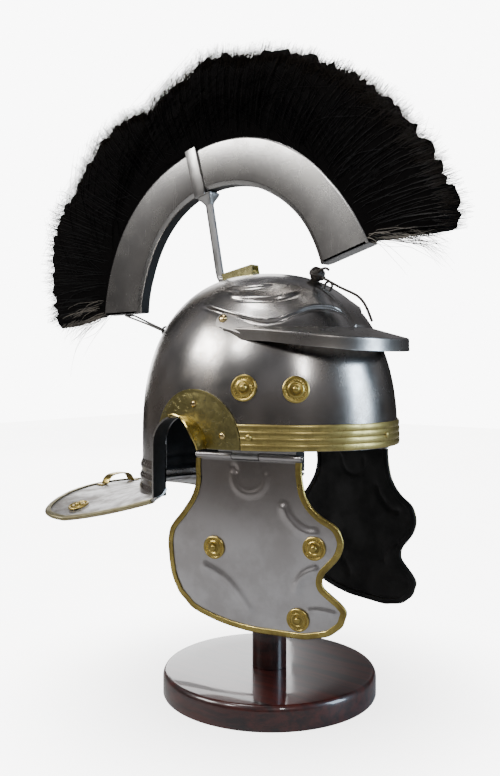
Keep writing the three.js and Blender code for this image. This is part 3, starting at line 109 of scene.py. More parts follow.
def deselect() -> None:
    """Deselects every object, the nodes of the frame included."""
    bpy.ops.object.select_all(action="DESELECT")


def only(obj: Piece) -> None:
    """Makes one object the selected and active one.

    Args:
        obj: The object.
    """
    deselect()
    obj.select_set(True)
    bpy.context.view_layer.objects.active = obj


@contextmanager
def editing(obj: Piece, pick: str = "SELECT") -> Iterator[None]:
    """Edit mode on one object.

    Args:
        obj: The mesh object to edit.
        pick: What select_all does first, SELECT or DESELECT.
    """
    only(obj)
    bpy.ops.object.mode_set(mode="EDIT")
    bpy.ops.mesh.select_mode(type="VERT")
    bpy.ops.mesh.select_all(action=pick)
    try:
        yield
    finally:
        bpy.ops.object.mode_set(mode="OBJECT")


def points_of(obj: Piece) -> Array:
    """The object's vertices as rows of X, Y and Z.

    Args:
        obj: A mesh object.

    Returns:
        Its vertices, one per row.
    """
    flat = np.empty(len(obj.data.vertices) * 3)
    obj.data.vertices.foreach_get("co", flat)
    return flat.reshape(-1, 3)


def set_points(obj: Piece, points: Array) -> None:
    """Writes the object's vertices back."""
    obj.data.vertices.foreach_set("co", points.ravel())
    obj.data.update()


def named(name: str) -> Piece:
    """Names the object that an operator has just made, and gives its mesh three slots.

    Args:
        name: The new name.

    Returns:
        The active object.
    """
    obj = bpy.context.object
    obj.name = obj.data.name = name
    for index in range(len(obj.data.materials), 3):
        label = f"slot_{index}"
        held = bpy.data.materials.get(label) or bpy.data.materials.new(label)
        obj.data.materials.append(held)
    return obj


def formed_grid(name: str, columns: int, rows: int, place: Place) -> Piece:
    """A grid primitive whose points are laid on a surface.

    Args:
        name: The piece's name.
        columns: Faces along u.
        rows: Faces along v.
        place: Gives the points for arrays of u and v from 0 to 1.

    Returns:
        The new object, with doubled points merged.
    """
    deselect()
    bpy.ops.mesh.primitive_grid_add(x_subdivisions=columns, y_subdivisions=rows, size=2)
    obj = named(name)
    shares = (points_of(obj)[:, :2] + 1) / 2
    set_points(obj, place(shares[:, 0], shares[:, 1]))
    with editing(obj):
        bpy.ops.mesh.remove_doubles(threshold=1e-6)
    return obj


def lofted(name: str, rings: Array, cyclic: bool = False) -> Piece:
    """A closed skin through rings of points.

    Args:
        name: The piece's name.
        rings: Points as rings by points by 3.
        cyclic: Whether the last ring joins the first.

    Returns:
        The new object, its ends filled and its faces outwards.
    """
    count, size = rings.shape[:2]
    columns = count if cyclic else count - 1

    def place(u: Array, v: Array) -> Array:
        """The ring's point for each share."""
        i = np.rint(u * columns).astype(int) % count
        return rings[i, np.rint(v * size).astype(int) % size]

    obj = formed_grid(name, columns, size, place)
    with editing(obj):
        bpy.ops.mesh.fill_holes(sides=0)
        bpy.ops.mesh.select_all(action="SELECT")
        bpy.ops.mesh.normals_make_consistent(inside=False)
    return obj


def turned(name: str, profile: Sequence[Pair], segments: int) -> Piece:
    """A turned piece, drawn up from a disc by extruding and resizing it.

    Args:
        name: The piece's name.
        profile: Pairs of radius and height from one end to the other.
        segments: Sides of the circle.

    Returns:
        The new object, standing on the Z axis.
    """
    deselect()
    radius, low = profile[0]
    bpy.ops.mesh.primitive_circle_add(
        vertices=segments, radius=radius, fill_type="NGON", location=(0, 0, low)
    )
    obj = named(name)
    obj.location = (0, 0, 0)
    obj.data.transform(Matrix.Translation((0, 0, low)))
    with editing(obj):
        for (r0, z0), (r1, z1) in zip(profile, profile[1:]):
            step = {"value": (0, 0, z1 - z0)}
            bpy.ops.mesh.extrude_region_move(TRANSFORM_OT_translate=step)
            bpy.ops.transform.resize(value=(r1 / r0, r1 / r0, 1), center_override=(0, 0, z1))
        bpy.ops.mesh.select_all(action="SELECT")
        bpy.ops.mesh.normals_make_consistent(inside=False)
    return obj


def block(name: str, size: Point, matrix: Matrix, bevel: float = 0.0003) -> Piece:
    """A cube primitive brought to size and place, with bevelled edges.

    Args:
        name: The piece's name.
        size: Its three sizes.
        matrix: Where its centre lies and how it is turned.
        bevel: Width of the bevel.

    Returns:
        The new object.
    """
    deselect()
    bpy.ops.mesh.primitive_cube_add(size=1)
    obj = named(name)
    with editing(obj):
        bpy.ops.transform.resize(value=size, center_override=(0, 0, 0))
        bpy.ops.mesh.bevel(offset=bevel, segments=2, affect="EDGES")
    obj.data.transform(matrix)
    return obj


def wire(
    name: str, points: Sequence[Sequence[float]], radius: float, cyclic: bool = False
) -> Piece:
    """A round wire along points, turned into a mesh.

    Args:
        name: The piece's name.
        points: Points of the wire's middle line.
        radius: The wire's radius.
        cyclic: Whether the wire closes on itself.

    Returns:
        The new object.
    """
    obj = route(name, points, radius, cyclic)
    only(obj)
    bpy.ops.object.convert(target="MESH")
    return bpy.context.object


def route(
    name: str, points: Sequence[Sequence[float]], radius: float, cyclic: bool = False
) -> Piece:
    """A bevelled curve through points, still a curve.

    Args:
        name: The curve's name.
        points: The points that it runs through.
        radius: Its half thickness.
        cyclic: Whether it closes on itself.

    Returns:
        The curve object.
    """
    curve = bpy.data.curves.new(name, "CURVE")
    curve.dimensions = "3D"
    curve.bevel_depth = radius
    curve.bevel_resolution = 3
    curve.use_fill_caps = not cyclic
    curve.resolution_u = 4
    spline = curve.splines.new("NURBS")
    spline.points.add(len(points) - 1)
    for spot, at in zip(spline.points, points):
        spot.co = (*at, 1)
    spline.order_u = 3
    spline.use_endpoint_u = not cyclic
    spline.use_cyclic_u = cyclic
    obj = bpy.data.objects.new(name, curve)
    bpy.context.scene.collection.objects.link(obj)
    return obj


def modified(obj: Piece, kind: str, **settings: object) -> Piece:
    """Adds one modifier with its settings and applies it.

    Args:
        obj: A mesh object.
        kind: The modifier's type.
        settings: Its settings by name.

    Returns:
        The same object.
    """
    only(obj)
    modifier = obj.modifiers.new(kind.lower(), kind)
    for key, value in settings.items():
        setattr(modifier, key, value)
    bpy.ops.object.modifier_apply(modifier=modifier.name)
    return obj


def faced(obj: Piece, centre: Point) -> Piece:
    """Turns an open sheet's faces away from a point.

    Args:
        obj: An open sheet.
        centre: The point that its faces turn away from.

    Returns:
        The same object.
    """
    total = 0.0
    for face in obj.data.polygons:
        total += face.area * face.normal.dot(face.center - Vector(centre))
    if total < 0:
        with editing(obj):
            bpy.ops.mesh.flip_normals()
    return obj


def thickened(obj: Piece, depth: float, offset: float = -1, inner: int = 0) -> Piece:
    """Gives an open sheet its wall.

    Args:
        obj: The sheet, its faces outwards.
        depth: The wall's thickness.
        offset: -1 for a wall under the sheet, 1 for one over it.
        inner: How many material slots further the inner faces take theirs.

    Returns:
        The same object.
    """
    return modified(
        obj,
        "SOLIDIFY",
        thickness=depth,
        offset=offset,
        use_even_offset=True,
        material_offset=inner,
        material_offset_rim=0,
    )


def softened(obj: Piece, width: float, angle: float = 50) -> Piece:
    """Bevels the edges that are sharper than an angle in degrees.

    Args:
        obj: A mesh object.
        width: The width of the bevel.
        angle: The angle in degrees.

    Returns:
        The same object.
    """
    return modified(
        obj, "BEVEL", width=width, segments=2, limit_method="ANGLE", angle_limit=math.radians(angle)
    )


def smoothed(obj: Piece, angle: float = 35) -> Piece:
    """Shades the object smooth but for the edges sharper than an angle in degrees.

    Args:
        obj: A mesh object.
        angle: The angle in degrees.

    Returns:
        The same object.
    """
    only(obj)
    bpy.ops.object.shade_smooth_by_angle(angle=math.radians(angle))
    return obj


def copied(obj: Piece, name: str, matrix: Matrix) -> Piece:
    """A copy of a piece with its own mesh, moved by a matrix.

    Args:
        obj: The piece.
        name: The copy's name.
        matrix: How the copy is moved.

    Returns:
        The copy.
    """
    made = obj.copy()
    made.data = obj.data.copy()
    made.name = made.data.name = name
    bpy.context.scene.collection.objects.link(made)
    made.data.transform(matrix)
    if matrix.determinant() < 0:
        made.data.flip_normals()
    return made


def sided(obj: Piece, name: str, side: Side) -> Piece:
    """The piece itself on the left side, or its mirror image on the right."""
    return copied(obj, name, Matrix.Diagonal((1, side.value, 1, 1)))


def joined(name: str, objects: Sequence[Piece]) -> Piece:
    """Joins several meshes into one piece.

    Args:
        name: The name of the piece.
        objects: The meshes, at least one.

    Returns:
        The joined piece.
    """
    only(objects[0])
    for obj in objects[1:]:
        obj.select_set(True)
    if len(objects) > 1:
        bpy.ops.object.join()
    return named(name)


def discard(*objects: Piece) -> None:
    """Removes pattern pieces that have been copied."""
    for obj in objects:
        bpy.data.objects.remove(obj)


def without(obj: Piece, test: Callable[[Vector], bool]) -> Piece:
    """Deletes the faces whose centre passes a test.

    Args:
        obj: A mesh object.
        test: Tells of a centre whether its face goes.

    Returns:
        The same object.
    """
    with editing(obj, "DESELECT"):
        bpy.ops.mesh.select_mode(type="FACE")
    for face in obj.data.polygons:
        face.select = test(face.center)
    only(obj)
    bpy.ops.object.mode_set(mode="EDIT")
    bpy.ops.mesh.delete(type="FACE")
    bpy.ops.object.mode_set(mode="OBJECT")
    return obj


def slot_faces(obj: Piece, test: Callable[[Vector, Vector], bool], slot: int) -> None:
    """Gives a material slot to the faces that pass a test on their centre and normal.

    Args:
        obj: A mesh object.
        test: Tells of a centre and a normal whether the face is meant.
        slot: The slot's number.
    """
    for face in obj.data.polygons:
        if test(face.center, face.normal):
            face.material_index = slot


def fitted(obj: Piece, body: Body, slot: str, finishes: Sequence[Material], *nodes: str) -> Piece:
    """Puts a finished piece on its body in place of its nodes.

    Args:
        obj: The piece.
        body: The body that it rides on.
        slot: The record's material slot; not used.
        finishes: Its materials, in the order of its slots.
        nodes: The nodes that it stands for.

    Returns:
        The same object.
    """
    kept = [face.material_index for face in getattr(obj.data, "polygons", [])]
    obj.data.materials.clear()
    for finish in finishes:
        obj.data.materials.append(finish)
    if kept:
        obj.data.polygons.foreach_set("material_index", kept)
    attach(obj, body.value)
    if nodes:
        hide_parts(*nodes)
    LOG.info("%s rides on %s", obj.name, body.value)
    return obj


# Curves and shares


def eased(low: float, high: float, value: Array) -> Array:
    """A smooth step from 0 at low to 1 at high."""
    share = np.clip((value - low) / (high - low), 0, 1)
    return share * share * (3 - 2 * share)


def through(points: Array, count: int) -> Array:
    """A smooth line through points, at even steps of its length.

    Args:
        points: The points that the line passes.
        count: How many points to return.

    Returns:
        The points of the line.
    """
    points = np.asarray(points, dtype=float)
    ends = [2 * points[0] - points[1], *points, 2 * points[-1] - points[-2]]
    padded = np.array(ends)
    line = []
    for a, b, c, d in zip(padded, padded[1:], padded[2:], padded[3:]):
        for t in np.linspace(0, 1, 12, endpoint=False):
            line.append(
                0.5
                * (
                    2 * b
                    + (c - a) * t
                    + (2 * a - 5 * b + 4 * c - d) * t * t
                    + (3 * b - a - 3 * c + d) * t**3
                )
            )
    line.append(points[-1])
    dense = np.array(line)
    run = np.concatenate([[0], np.cumsum(np.linalg.norm(np.diff(dense, axis=0), axis=1))])
    steps = np.linspace(0, run[-1], count)
    return np.stack([np.interp(steps, run, dense[:, k]) for k in range(dense.shape[1])], axis=1)


def distance_to(points: Array, line: Array) -> Array:
    """Distance of each plane point from a line of short segments.

    Args:
        points: The points, one per row.
        line: The ends of the segments, one per row.

    Returns:
        One distance for each point.
    """
    best = np.full(len(points), np.inf)
    for a, b in zip(line, line[1:]):
        step = b - a
        share = np.clip(((points - a) @ step) / (step @ step), 0, 1)
        near = a + share[:, None] * step
        best = np.minimum(best, np.linalg.norm(points - near, axis=1))
    return best


def bound_rings(at: Array, into: Array, normal: Array, half: float, depth: float) -> Array:
    """Rings of a folded binding round the edge of a sheet.

    Args:
        at: Points on the edge, in the middle of the sheet.
        into: Directions into the sheet.
        normal: Directions out of the sheet.
        half: Half of the sheet's thickness and its play.
        depth: How far the binding reaches over the sheet.

    Returns:
        Points as places by profile points by 3.
    """
    wall = 0.0009
    full = half + wall
    lip, play = 0.0004, 0.0003
    profile = [(depth, full - play), (depth - lip, full)]
    for turn in np.linspace(90, 270, 9):
        angle = math.radians(turn)
        profile.append((0.4 * wall + full * math.cos(angle), full * math.sin(angle)))
    profile += [(depth - lip, -full), (depth, -full + play), (depth, -half)]
    profile += [(0, -half), (-0.0002, 0), (0, half), (depth, half)]
    spots = np.array(profile)
    return (
        at[:, None, :]
        + into[:, None, :] * spots[None, :, :1]
        + normal[:, None, :] * spots[None, :, 1:]
    )


def unit(vectors: Array) -> Array:
    """Vectors brought to length 1."""
    return vectors / np.linalg.norm(vectors, axis=-1, keepdims=True)


# Shapes shared by the pieces


@dataclass(frozen=True)
class BowlShape:
    """The bowl's surface: an oval plan that closes upwards as a rounded square."""

    rim: float = 0.2315
    half_length: float = 0.1237
    half_width: float = 0.102
    height: float = 0.151
    centre: float = -0.0034
    power: float = 2.38

    def plan_share(self, z: Array, out: Array | float = 0) -> Array:
        """How much of the plan is left at a height."""
        share = np.clip((z - self.rim) / (self.height + out), 0, 1)
        return (1 - share**self.power) ** (1 / self.power)

    def point(self, turn: Array, z: Array, out: Array | float = 0) -> Array:
        """Points at turns in degrees and heights, standing off the surface by a distance.

        Args:
            turn: Turns from the front, to the left.
            z: Heights.
            out: How far off the surface.

        Returns:
            The points, in the last axis.
        """
        share = self.plan_share(z, out)
        angle = np.radians(turn)
        x = self.centre + (self.half_length + out) * share * np.cos(angle)
        y = (self.half_width + out) * share * np.sin(angle)
        return np.stack([x, y, np.broadcast_to(z, x.shape)], axis=-1)

    def side(self, x: Array, z: Array, out: float = 0) -> Array:
        """The half width at a place along the bowl and a height.

        Args:
            x: Places along the bowl.
            z: Heights.
            out: How far off the surface.

        Returns:
            The half widths.
        """
        share = self.plan_share(z, out)
        along = (x - self.centre) / ((self.half_length + out) * share)
        return (self.half_width + out) * share * np.sqrt(np.clip(1 - along**2, 0, 1))

    def crown(self, x: Array, y: Array, out: float = 0) -> Array:
        """The height of the bowl over a place of its plan.

        Args:
            x: Places along the bowl.
            y: Places across it.
            out: How far off the surface.

        Returns:
            The heights.
        """
        reach = np.hypot(
            (x - self.centre) / (self.half_length + out), y / (self.half_width + out)
        )
        share = (1 - np.minimum(reach, 1) ** self.power) ** (1 / self.power)
        return self.rim + (self.height + out) * share

    def normal(self, points: Array) -> Array:
        """Directions out of the bowl.

        Args:
            points: Points on the bowl, one per row.

        Returns:
            One direction for each point.
        """
        u = (points[:, 0] - self.centre) / self.half_length
        v = points[:, 1] / self.half_width
        reach = np.maximum(np.hypot(u, v), 1e-4)
        flat = reach ** (self.power - 2)
        share = np.clip((points[:, 2] - self.rim) / self.height, 0, 1)
        steep = share ** (self.power - 1) / self.height
        return unit(np.stack([flat * u / self.half_length, flat * v / self.half_width, steep], 1))


SHAPE = BowlShape()
GAP = 0.0003
RIVET_SIZE: Pair = (0.0028, 0.0018)
EAR = (-0.0135, 0.232, 0.025)
EAR_PLATE = (-0.003, 0.235, 0.0455)
NECK_FRONT, NECK_CORNER, NECK_REAR = -0.0385, -0.188, -0.214


def neck_height(x: Array, y: Array) -> Array:
    """The height of the top of the neck guard over its plan.

    Args:
        x: Places along the helmet.
        y: Places across it.

    Returns:
        The heights.
    """
    forward = np.maximum(0, (x - NECK_REAR) / (NECK_FRONT - NECK_REAR))
    droop = 0.015 * (0.4 + 0.6 * np.minimum(1, forward * 2.7) ** 0.8)
    return 0.174 + 0.031 * forward**1.7 - droop * (y / 0.1) ** 2


def neck_edge(count: int) -> Array:
    """Plan points round the neck guard, from the right ear to the left one.

    Args:
        count: How many points.

    Returns:
        The points, one per row.
    """
    shares = [(0, 0.1125), (0.25, 0.114), (0.5, 0.116), (0.72, 0.1175), (0.85, 0.117)]
    shares += [(0.94, 0.1125), (1, 0.102)]
    span = NECK_CORNER - NECK_FRONT
    half = [(NECK_FRONT + share * span, y) for share, y in shares]
    back = [(0.35, 0.0836), (0.7, 0.0571), (0.93, 0.0275), (1, 0)]
    half += [(NECK_CORNER + share * (NECK_REAR - NECK_CORNER), y) for share, y in back]
    right = [(x, -y) for x, y in half]
    return through(np.array(right + half[-2::-1]), count)


@dataclass(frozen=True)
class Hinge:
    """The line that a cheek guard hangs from, on the wearer's left."""

    x: float = -0.008
    y: float = 0.091
    z: float = 0.2255
    turn: float = 13.3
    length: float = 0.0945

    def matrix(self) -> Matrix:
        """A frame at the line's rear end: x along it, y outwards, z up."""
        turn = Matrix.Rotation(math.radians(-self.turn), 4, "Z")
        return Matrix.Translation((self.x, self.y, self.z)) @ turn

    def world(self, local: Array) -> Array:
        """Points of the hinge's frame in the row frame."""
        matrix = np.array(self.matrix())
        return local @ matrix[:3, :3].T + matrix[:3, 3]


HINGE = Hinge()


@dataclass(frozen=True)
class CrestArc:
    """The arch of the crest: turns in degrees about a centre, stretched a little along X."""

    x: float = -0.0473
    z: float = 0.3553
    radius: float = 0.1554
    depth: float = 0.044
    stretch: float = 1.02
    first: float = 181.5
    last: float = 17

    def radii(self, turn: Array) -> tuple[Array, Array]:
        """The box's inner and outer radius at turns.

        Args:
            turn: Turns along the arc.

        Returns:
            The inner and the outer radii.
        """
        turns = [17, 24, 32, 42, 52, 62, 72, 82, 92, 102, 112, 122, 132, 142, 152, 162, 172, 181.5]
        inner = [0.984, 0.986, 0.992, 1, 1.002, 1.004, 1.008, 1.008, 1.008]
        inner += [1.008, 1.005, 0.998, 0.99, 0.98, 0.97, 0.968, 0.978, 0.988]
        outer = [1.026, 1.01, 0.998, 0.99, 0.994, 0.998, 1.002, 1, 0.994]
        outer += [0.988, 0.99, 0.994, 0.998, 1.002, 1.006, 1.012, 1.024, 1.04]
        low = (self.radius - self.depth) * np.interp(turn, turns, inner)
        return low, self.radius * np.interp(turn, turns, outer)

    def point(self, turn: Array, radius: Array, y: Array) -> Array:
        """Points by their turn, radius and place across.

        Args:
            turn: Turns along the arc.
            radius: Distances from its centre.
            y: Places across.

        Returns:
            The points, in the last axis.
        """
        angle = np.radians(turn)
        x = self.x + self.stretch * radius * np.cos(angle)
        z = self.z + radius * np.sin(angle)
        return np.stack(np.broadcast_arrays(x, y, z), axis=-1)


CREST = CrestArc()


# Finishes


class Graph:
    """A node tree that is built up call by call."""

    def __init__(self, tree: Tree) -> None:
        """Starts from an empty tree."""
        self.tree = tree
        tree.nodes.clear()

    def add(self, kind: str, **inputs: object) -> Node:
        """Adds a node; words with a small first letter are its settings, the rest sockets.

        Args:
            kind: The node's type without its prefix.
            inputs: Settings and socket values, or output sockets to link; _ stands for a space.

        Returns:
            The new node.
        """
        name = kind if kind.startswith("Node") else "ShaderNode" + kind
        node = self.tree.nodes.new(name)
        for key, value in inputs.items():
            if key[0].islower():
                setattr(node, key, value)
        for key, value in inputs.items():
            if key[0].islower():
                continue
            label = key.replace("_", " ")
            socket = node.inputs[int(key[1:])] if key[1:].isdigit() else node.inputs[label]
            if isinstance(value, Socket):
                self.tree.links.new(value, socket)
            else:
                socket.default_value = value
        return node

    def math(self, operation: str, a: object, b: object = 0.0, c: object = 0.0) -> Socket:
        """One sum of up to three values."""
        return self.add("Math", operation=operation, I0=a, I1=b, I2=c).outputs[0]

    def span(self, value: object, low: float, high: float, a: float = 0, b: float = 1) -> Socket:
        """A clamped smooth step of a value from a to b.

        Args:
            value: The value.
            low: Where the step starts.
            high: Where it ends.
            a: The result at its start.
            b: The result at its end.

        Returns:
            The socket of the result.
        """
        node = self.add(
            "MapRange",
            interpolation_type="SMOOTHSTEP",
            Value=value,
            From_Min=low,
            From_Max=high,
            To_Min=a,
            To_Max=b,
        )
        return node.outputs[0]

    def mix(self, factor: object, a: object, b: object) -> Socket:
        """A blend of two colours.

        Args:
            factor: How much of the second colour.
            a: The first colour.
            b: The second colour.

        Returns:
            The socket of the blend.
        """
        node = self.add("Mix", data_type="RGBA")
        for index, value in ((0, factor), (6, a), (7, b)):
            if isinstance(value, Socket):
                self.tree.links.new(value, node.inputs[index])
            else:
                node.inputs[index].default_value = value
        return node.outputs[2]

    def noise(self, at: object, scale: float, detail: float = 4, rough: float = 0.5) -> Socket:
        """Noise from 0 to 1.

        Args:
            at: The coordinates.
            scale: How many spots go to a metre.
            detail: How many octaves.
            rough: How strong the finer octaves are.

        Returns:
            The socket of the noise.
        """
        return self.add(
            "TexNoise", Vector=at, Scale=scale, Detail=detail, Roughness=rough
        ).outputs[0]

    def put(self, node: Node, label: str, source: Socket) -> None:
        """Links a socket to a node's input by its label."""
        self.tree.links.new(source, node.inputs[label])

    def bump(
        self,
        surface: Node,
        strength: float,
        distance: float,
        height: Socket,
        label: str = "Normal",
    ) -> None:
        """Bumps a surface.

        Args:
            surface: The principled shader.
            strength: How much of the bump shows.
            distance: The height in metres that 1 stands for.
            height: The height from 0 to 1.
            label: The surface's input that takes the normal.
        """
        node = self.add("Bump", Strength=strength, Distance=distance, Height=height)
        self.put(surface, label, node.outputs[0])

    def stretched(self, at: object, scale: Point, turn: Point = (0, 0, 0)) -> Socket:
        """Coordinates turned and stretched."""
        return self.add("Mapping", Vector=at, Rotation=turn, Scale=scale).outputs[0]


def group(
    name: str, inputs: Sequence[tuple[str, str, object]], outputs: Sequence[tuple[str, str]]
) -> tuple[Graph, Node, Node]:
    """Starts a node group.

    Args:
        name: The group's name.
        inputs: Name, socket type and default of each input.
        outputs: Name and socket type of each output.

    Returns:
        The group's graph with its input and output nodes.
    """
    tree = bpy.data.node_groups.new(name, "ShaderNodeTree")
    for label, kind, default in inputs:
        socket = tree.interface.new_socket(label, in_out="INPUT", socket_type=kind)
        if default is not None:
            socket.default_value = default
    for label, kind in outputs:
        tree.interface.new_socket(label, in_out="OUTPUT", socket_type=kind)
    graph = Graph(tree)
    return graph, graph.add("NodeGroupInput"), graph.add("NodeGroupOutput")


VECTOR, FLOAT, COLOUR = "NodeSocketVector", "NodeSocketFloat", "NodeSocketColor"


def scratches_group() -> Tree:
    """Fine scratches in three directions, as a mask.

    Returns:
        The node group.
    """
    graph, source, sink = group(
        "Scratches", [("Vector", VECTOR, None), ("Scale", FLOAT, 1.0)], [("Mask", FLOAT)]
    )
    at = graph.add("VectorMath", operation="SCALE", I0=source.outputs[0], Scale=source.outputs[1])
    total: object = 0.0
    for turn in ((0.3, 0.2, 0.5), (1.1, 0.9, -0.7), (-0.6, 1.4, 2.1)):
        lane = graph.stretched(at.outputs[0], (900, 900, 18), turn)
        line = graph.noise(lane, 1.0, 2)
        thin = graph.span(line, 0.66, 0.72)
        patch = graph.noise(graph.stretched(at.outputs[0], (45, 45, 45), turn), 1)
        patch = graph.span(patch, 0.48, 0.62)
        total = graph.math("ADD", total, graph.math("MULTIPLY", thin, patch))
    graph.tree.links.new(graph.math("MINIMUM", total, 1.0), sink.inputs[0])
    return graph.tree


def tarnish_group() -> Tree:
    """Cloudy stains with specks and thin dark cracks, as two masks.

    Returns:
        The node group.
    """
    graph, source, sink = group(
        "Tarnish",
        [("Vector", VECTOR, None), ("Scale", FLOAT, 40.0)],
        [("Cloud", FLOAT), ("Crack", FLOAT)],
    )
    at = graph.add("VectorMath", operation="SCALE", I0=source.outputs[0], Scale=source.outputs[1])
    cloud = graph.noise(at.outputs[0], 1, 7, 0.62)
    warp = graph.add("TexNoise", Vector=at.outputs[0], Scale=2.2, Detail=3.0)
    shift = (0.6, 0.6, 0.6)
    bent = graph.add(
        "VectorMath", operation="MULTIPLY_ADD", I0=warp.outputs[1], I1=shift, I2=at.outputs[0]
    )
    cell = graph.add("TexVoronoi", feature="DISTANCE_TO_EDGE", Vector=bent.outputs[0], Scale=1.6)
    crack = graph.span(cell.outputs[0], 0.0, 0.035, 1, 0)
    patch = graph.span(graph.noise(at.outputs[0], 3, 3), 0.45, 0.6)
    broken = graph.math("MULTIPLY", crack, patch)
    graph.tree.links.new(graph.span(cloud, 0.38, 0.66), sink.inputs[0])
    graph.tree.links.new(broken, sink.inputs[1])
    return graph.tree


def dents_group() -> Tree:
    """Soft hammer marks and a fine grain, as a height.

    Returns:
        The node group.
    """
    graph, source, sink = group(
        "Dents",
        [("Vector", VECTOR, None), ("Scale", FLOAT, 60.0), ("Grain", FLOAT, 0.1)],
        [("Height", FLOAT)],
    )
    at = graph.add("VectorMath", operation="SCALE", I0=source.outputs[0], Scale=source.outputs[1])
    soft = graph.noise(at.outputs[0], 1, 2, 0.4)
    fine = graph.noise(at.outputs[0], 26, 3, 0.6)
    height = graph.math("MULTIPLY_ADD", fine, source.outputs[2], soft)
    graph.tree.links.new(height, sink.inputs[0])
    return graph.tree


class Groups:
    """The shared node groups, made once."""

    trees: dict[str, Tree] = {}

    @classmethod
    def build(cls) -> None:
        """Makes every group."""
        for make in (scratches_group, tarnish_group, dents_group):
            tree = make()
            cls.trees[tree.name] = tree


def shell(name: str) -> tuple[Material, Graph, Node, Socket]:
    """A new material with its principled shader and Object coordinates.

    Args:
        name: The material's name.

    Returns:
        The material, its graph, its shader and the socket of the coordinates.
    """
    material = bpy.data.materials.new(name)
    material.use_nodes = True
    graph = Graph(material.node_tree)
    surface = graph.add("BsdfPrincipled")
    graph.add("OutputMaterial", Surface=surface.outputs[0])
    return material, graph, surface, graph.add("TexCoord").outputs["Object"]


def shared(graph: Graph, name: str, at: object, **inputs: float) -> Node:
    """Puts a shared group into a material.

    Args:
        graph: The material's graph.
        name: The group's name.
        at: The coordinates.
        inputs: The group's other inputs by name.

    Returns:
        The group's node.
    """
    node = graph.tree.nodes.new("ShaderNodeGroup")
    node.node_tree = Groups.trees[name]
    graph.tree.links.new(at, node.inputs["Vector"])
    for key, value in inputs.items():
        node.inputs[key].default_value = value
    return node


Colour = tuple[float, float, float, float]


@dataclass(frozen=True)
class Tones:
    """A metal's clean colour, its stained colour and that of its hollows and cracks."""

    clean: Colour
    stained: Colour
    dark: Colour


@dataclass(frozen=True)
class Polish:
    """A metal's roughness where it is clean and where it is worn."""

    rough: float
    worn: float


@dataclass(frozen=True)
class Wear:
    """How much of each mark a metal shows; scale is how many marks go to a metre."""

    stain: float
    cracks: float
    scale: float
    dent: float
    scratch: float


@dataclass(frozen=True)
class Metal:
    """A worn metal; its optional painted shade darkens it upwards between two given heights."""

    name: str
    tones: Tones
    polish: Polish
    wear: Wear
    shade: Pair | None = None

    HOLLOWS = (0.39, 0.475)
    EDGES = (0.51, 0.56)

    def colour(self, graph: Graph, at: object, cloud: object, crack: object) -> object:
        """Stains, painted shade towards the top, cracks, dark hollows and bright edges over the clean
        colour.

        Args:
            graph: The material's graph.
            at: Object coordinates.
            cloud: How stained each place is.
            crack: How cracked each place is.

        Returns:
            The socket of the colour.
        """
        tones = self.tones
        colour = graph.mix(cloud, tones.clean, tones.stained)
        # Painted shade: towards the top, between two heights, the colour turns to the stained tone.
        if self.shade:
            high = graph.span(graph.add("SeparateXYZ", Vector=at).outputs[2], *self.shade, 0, 0.75)
            colour = graph.mix(high, colour, tones.stained)
        colour = graph.mix(crack, colour, tones.dark)
        edge = graph.add("NewGeometry").outputs["Pointiness"]
        colour = graph.mix(graph.span(edge, *self.HOLLOWS, 0.8, 0), colour, tones.dark)
        return graph.mix(graph.span(edge, *self.EDGES, 0, 0.6), colour, tones.clean)

    def build(self) -> Material:
        """Makes the material.

        Returns:
            The material.
        """
        wear, rough, worn = self.wear, self.polish.rough, self.polish.worn
        material, graph, surface, at = shell(self.name)
        tarnish = shared(graph, "Tarnish", at, Scale=wear.scale)
        scratches = shared(graph, "Scratches", at, Scale=1.0).outputs[0]
        dents = shared(graph, "Dents", at, Scale=wear.scale * 1.3, Grain=0.12)
        cloud = graph.math("MULTIPLY", tarnish.outputs[0], wear.stain)
        crack = graph.math("MULTIPLY", tarnish.outputs[1], wear.cracks)
        graph.put(surface, "Base Color", self.colour(graph, at, cloud, crack))
        rough = graph.math("MULTIPLY_ADD", cloud, worn - rough, rough)
        rough = graph.math("MULTIPLY_ADD", scratches, 0.18 * wear.scratch, rough)
        graph.put(surface, "Roughness", graph.math("MULTIPLY_ADD", crack, 0.3, rough))
        graph.put(surface, "Metallic", graph.math("MULTIPLY_ADD", crack, -0.6, 1.0))
        height = graph.math("MULTIPLY_ADD", scratches, -0.06 * wear.scratch, dents.outputs[0])
        height = graph.math("MULTIPLY_ADD", crack, -0.4, height)
        graph.bump(surface, wear.dent, 0.001, height)
        return material


@dataclass(frozen=True)
class Paint:
    """A dull black paint with dust."""

    name: str = "black_paint"
    colour: Colour = (0.004, 0.004, 0.004, 1)
    dust: Colour = (0.03, 0.026, 0.022, 1)

    def build(self) -> Material:
        """Makes the material.

        Returns:
            The material.
        """
        material, graph, surface, at = shell(self.name)
        dust = graph.span(graph.noise(at, 70, 6, 0.65), 0.5, 0.75, 0, 0.35)
        colour = graph.mix(dust, self.colour, self.dust)
        graph.put(surface, "Base Color", colour)
        rough = graph.span(graph.noise(at, 40, 4), 0.3, 0.7, 0.5, 0.75)
        graph.put(surface, "Roughness", rough)
        graph.bump(surface, 0.25, 0.0006, graph.noise(at, 400, 3))
        return material


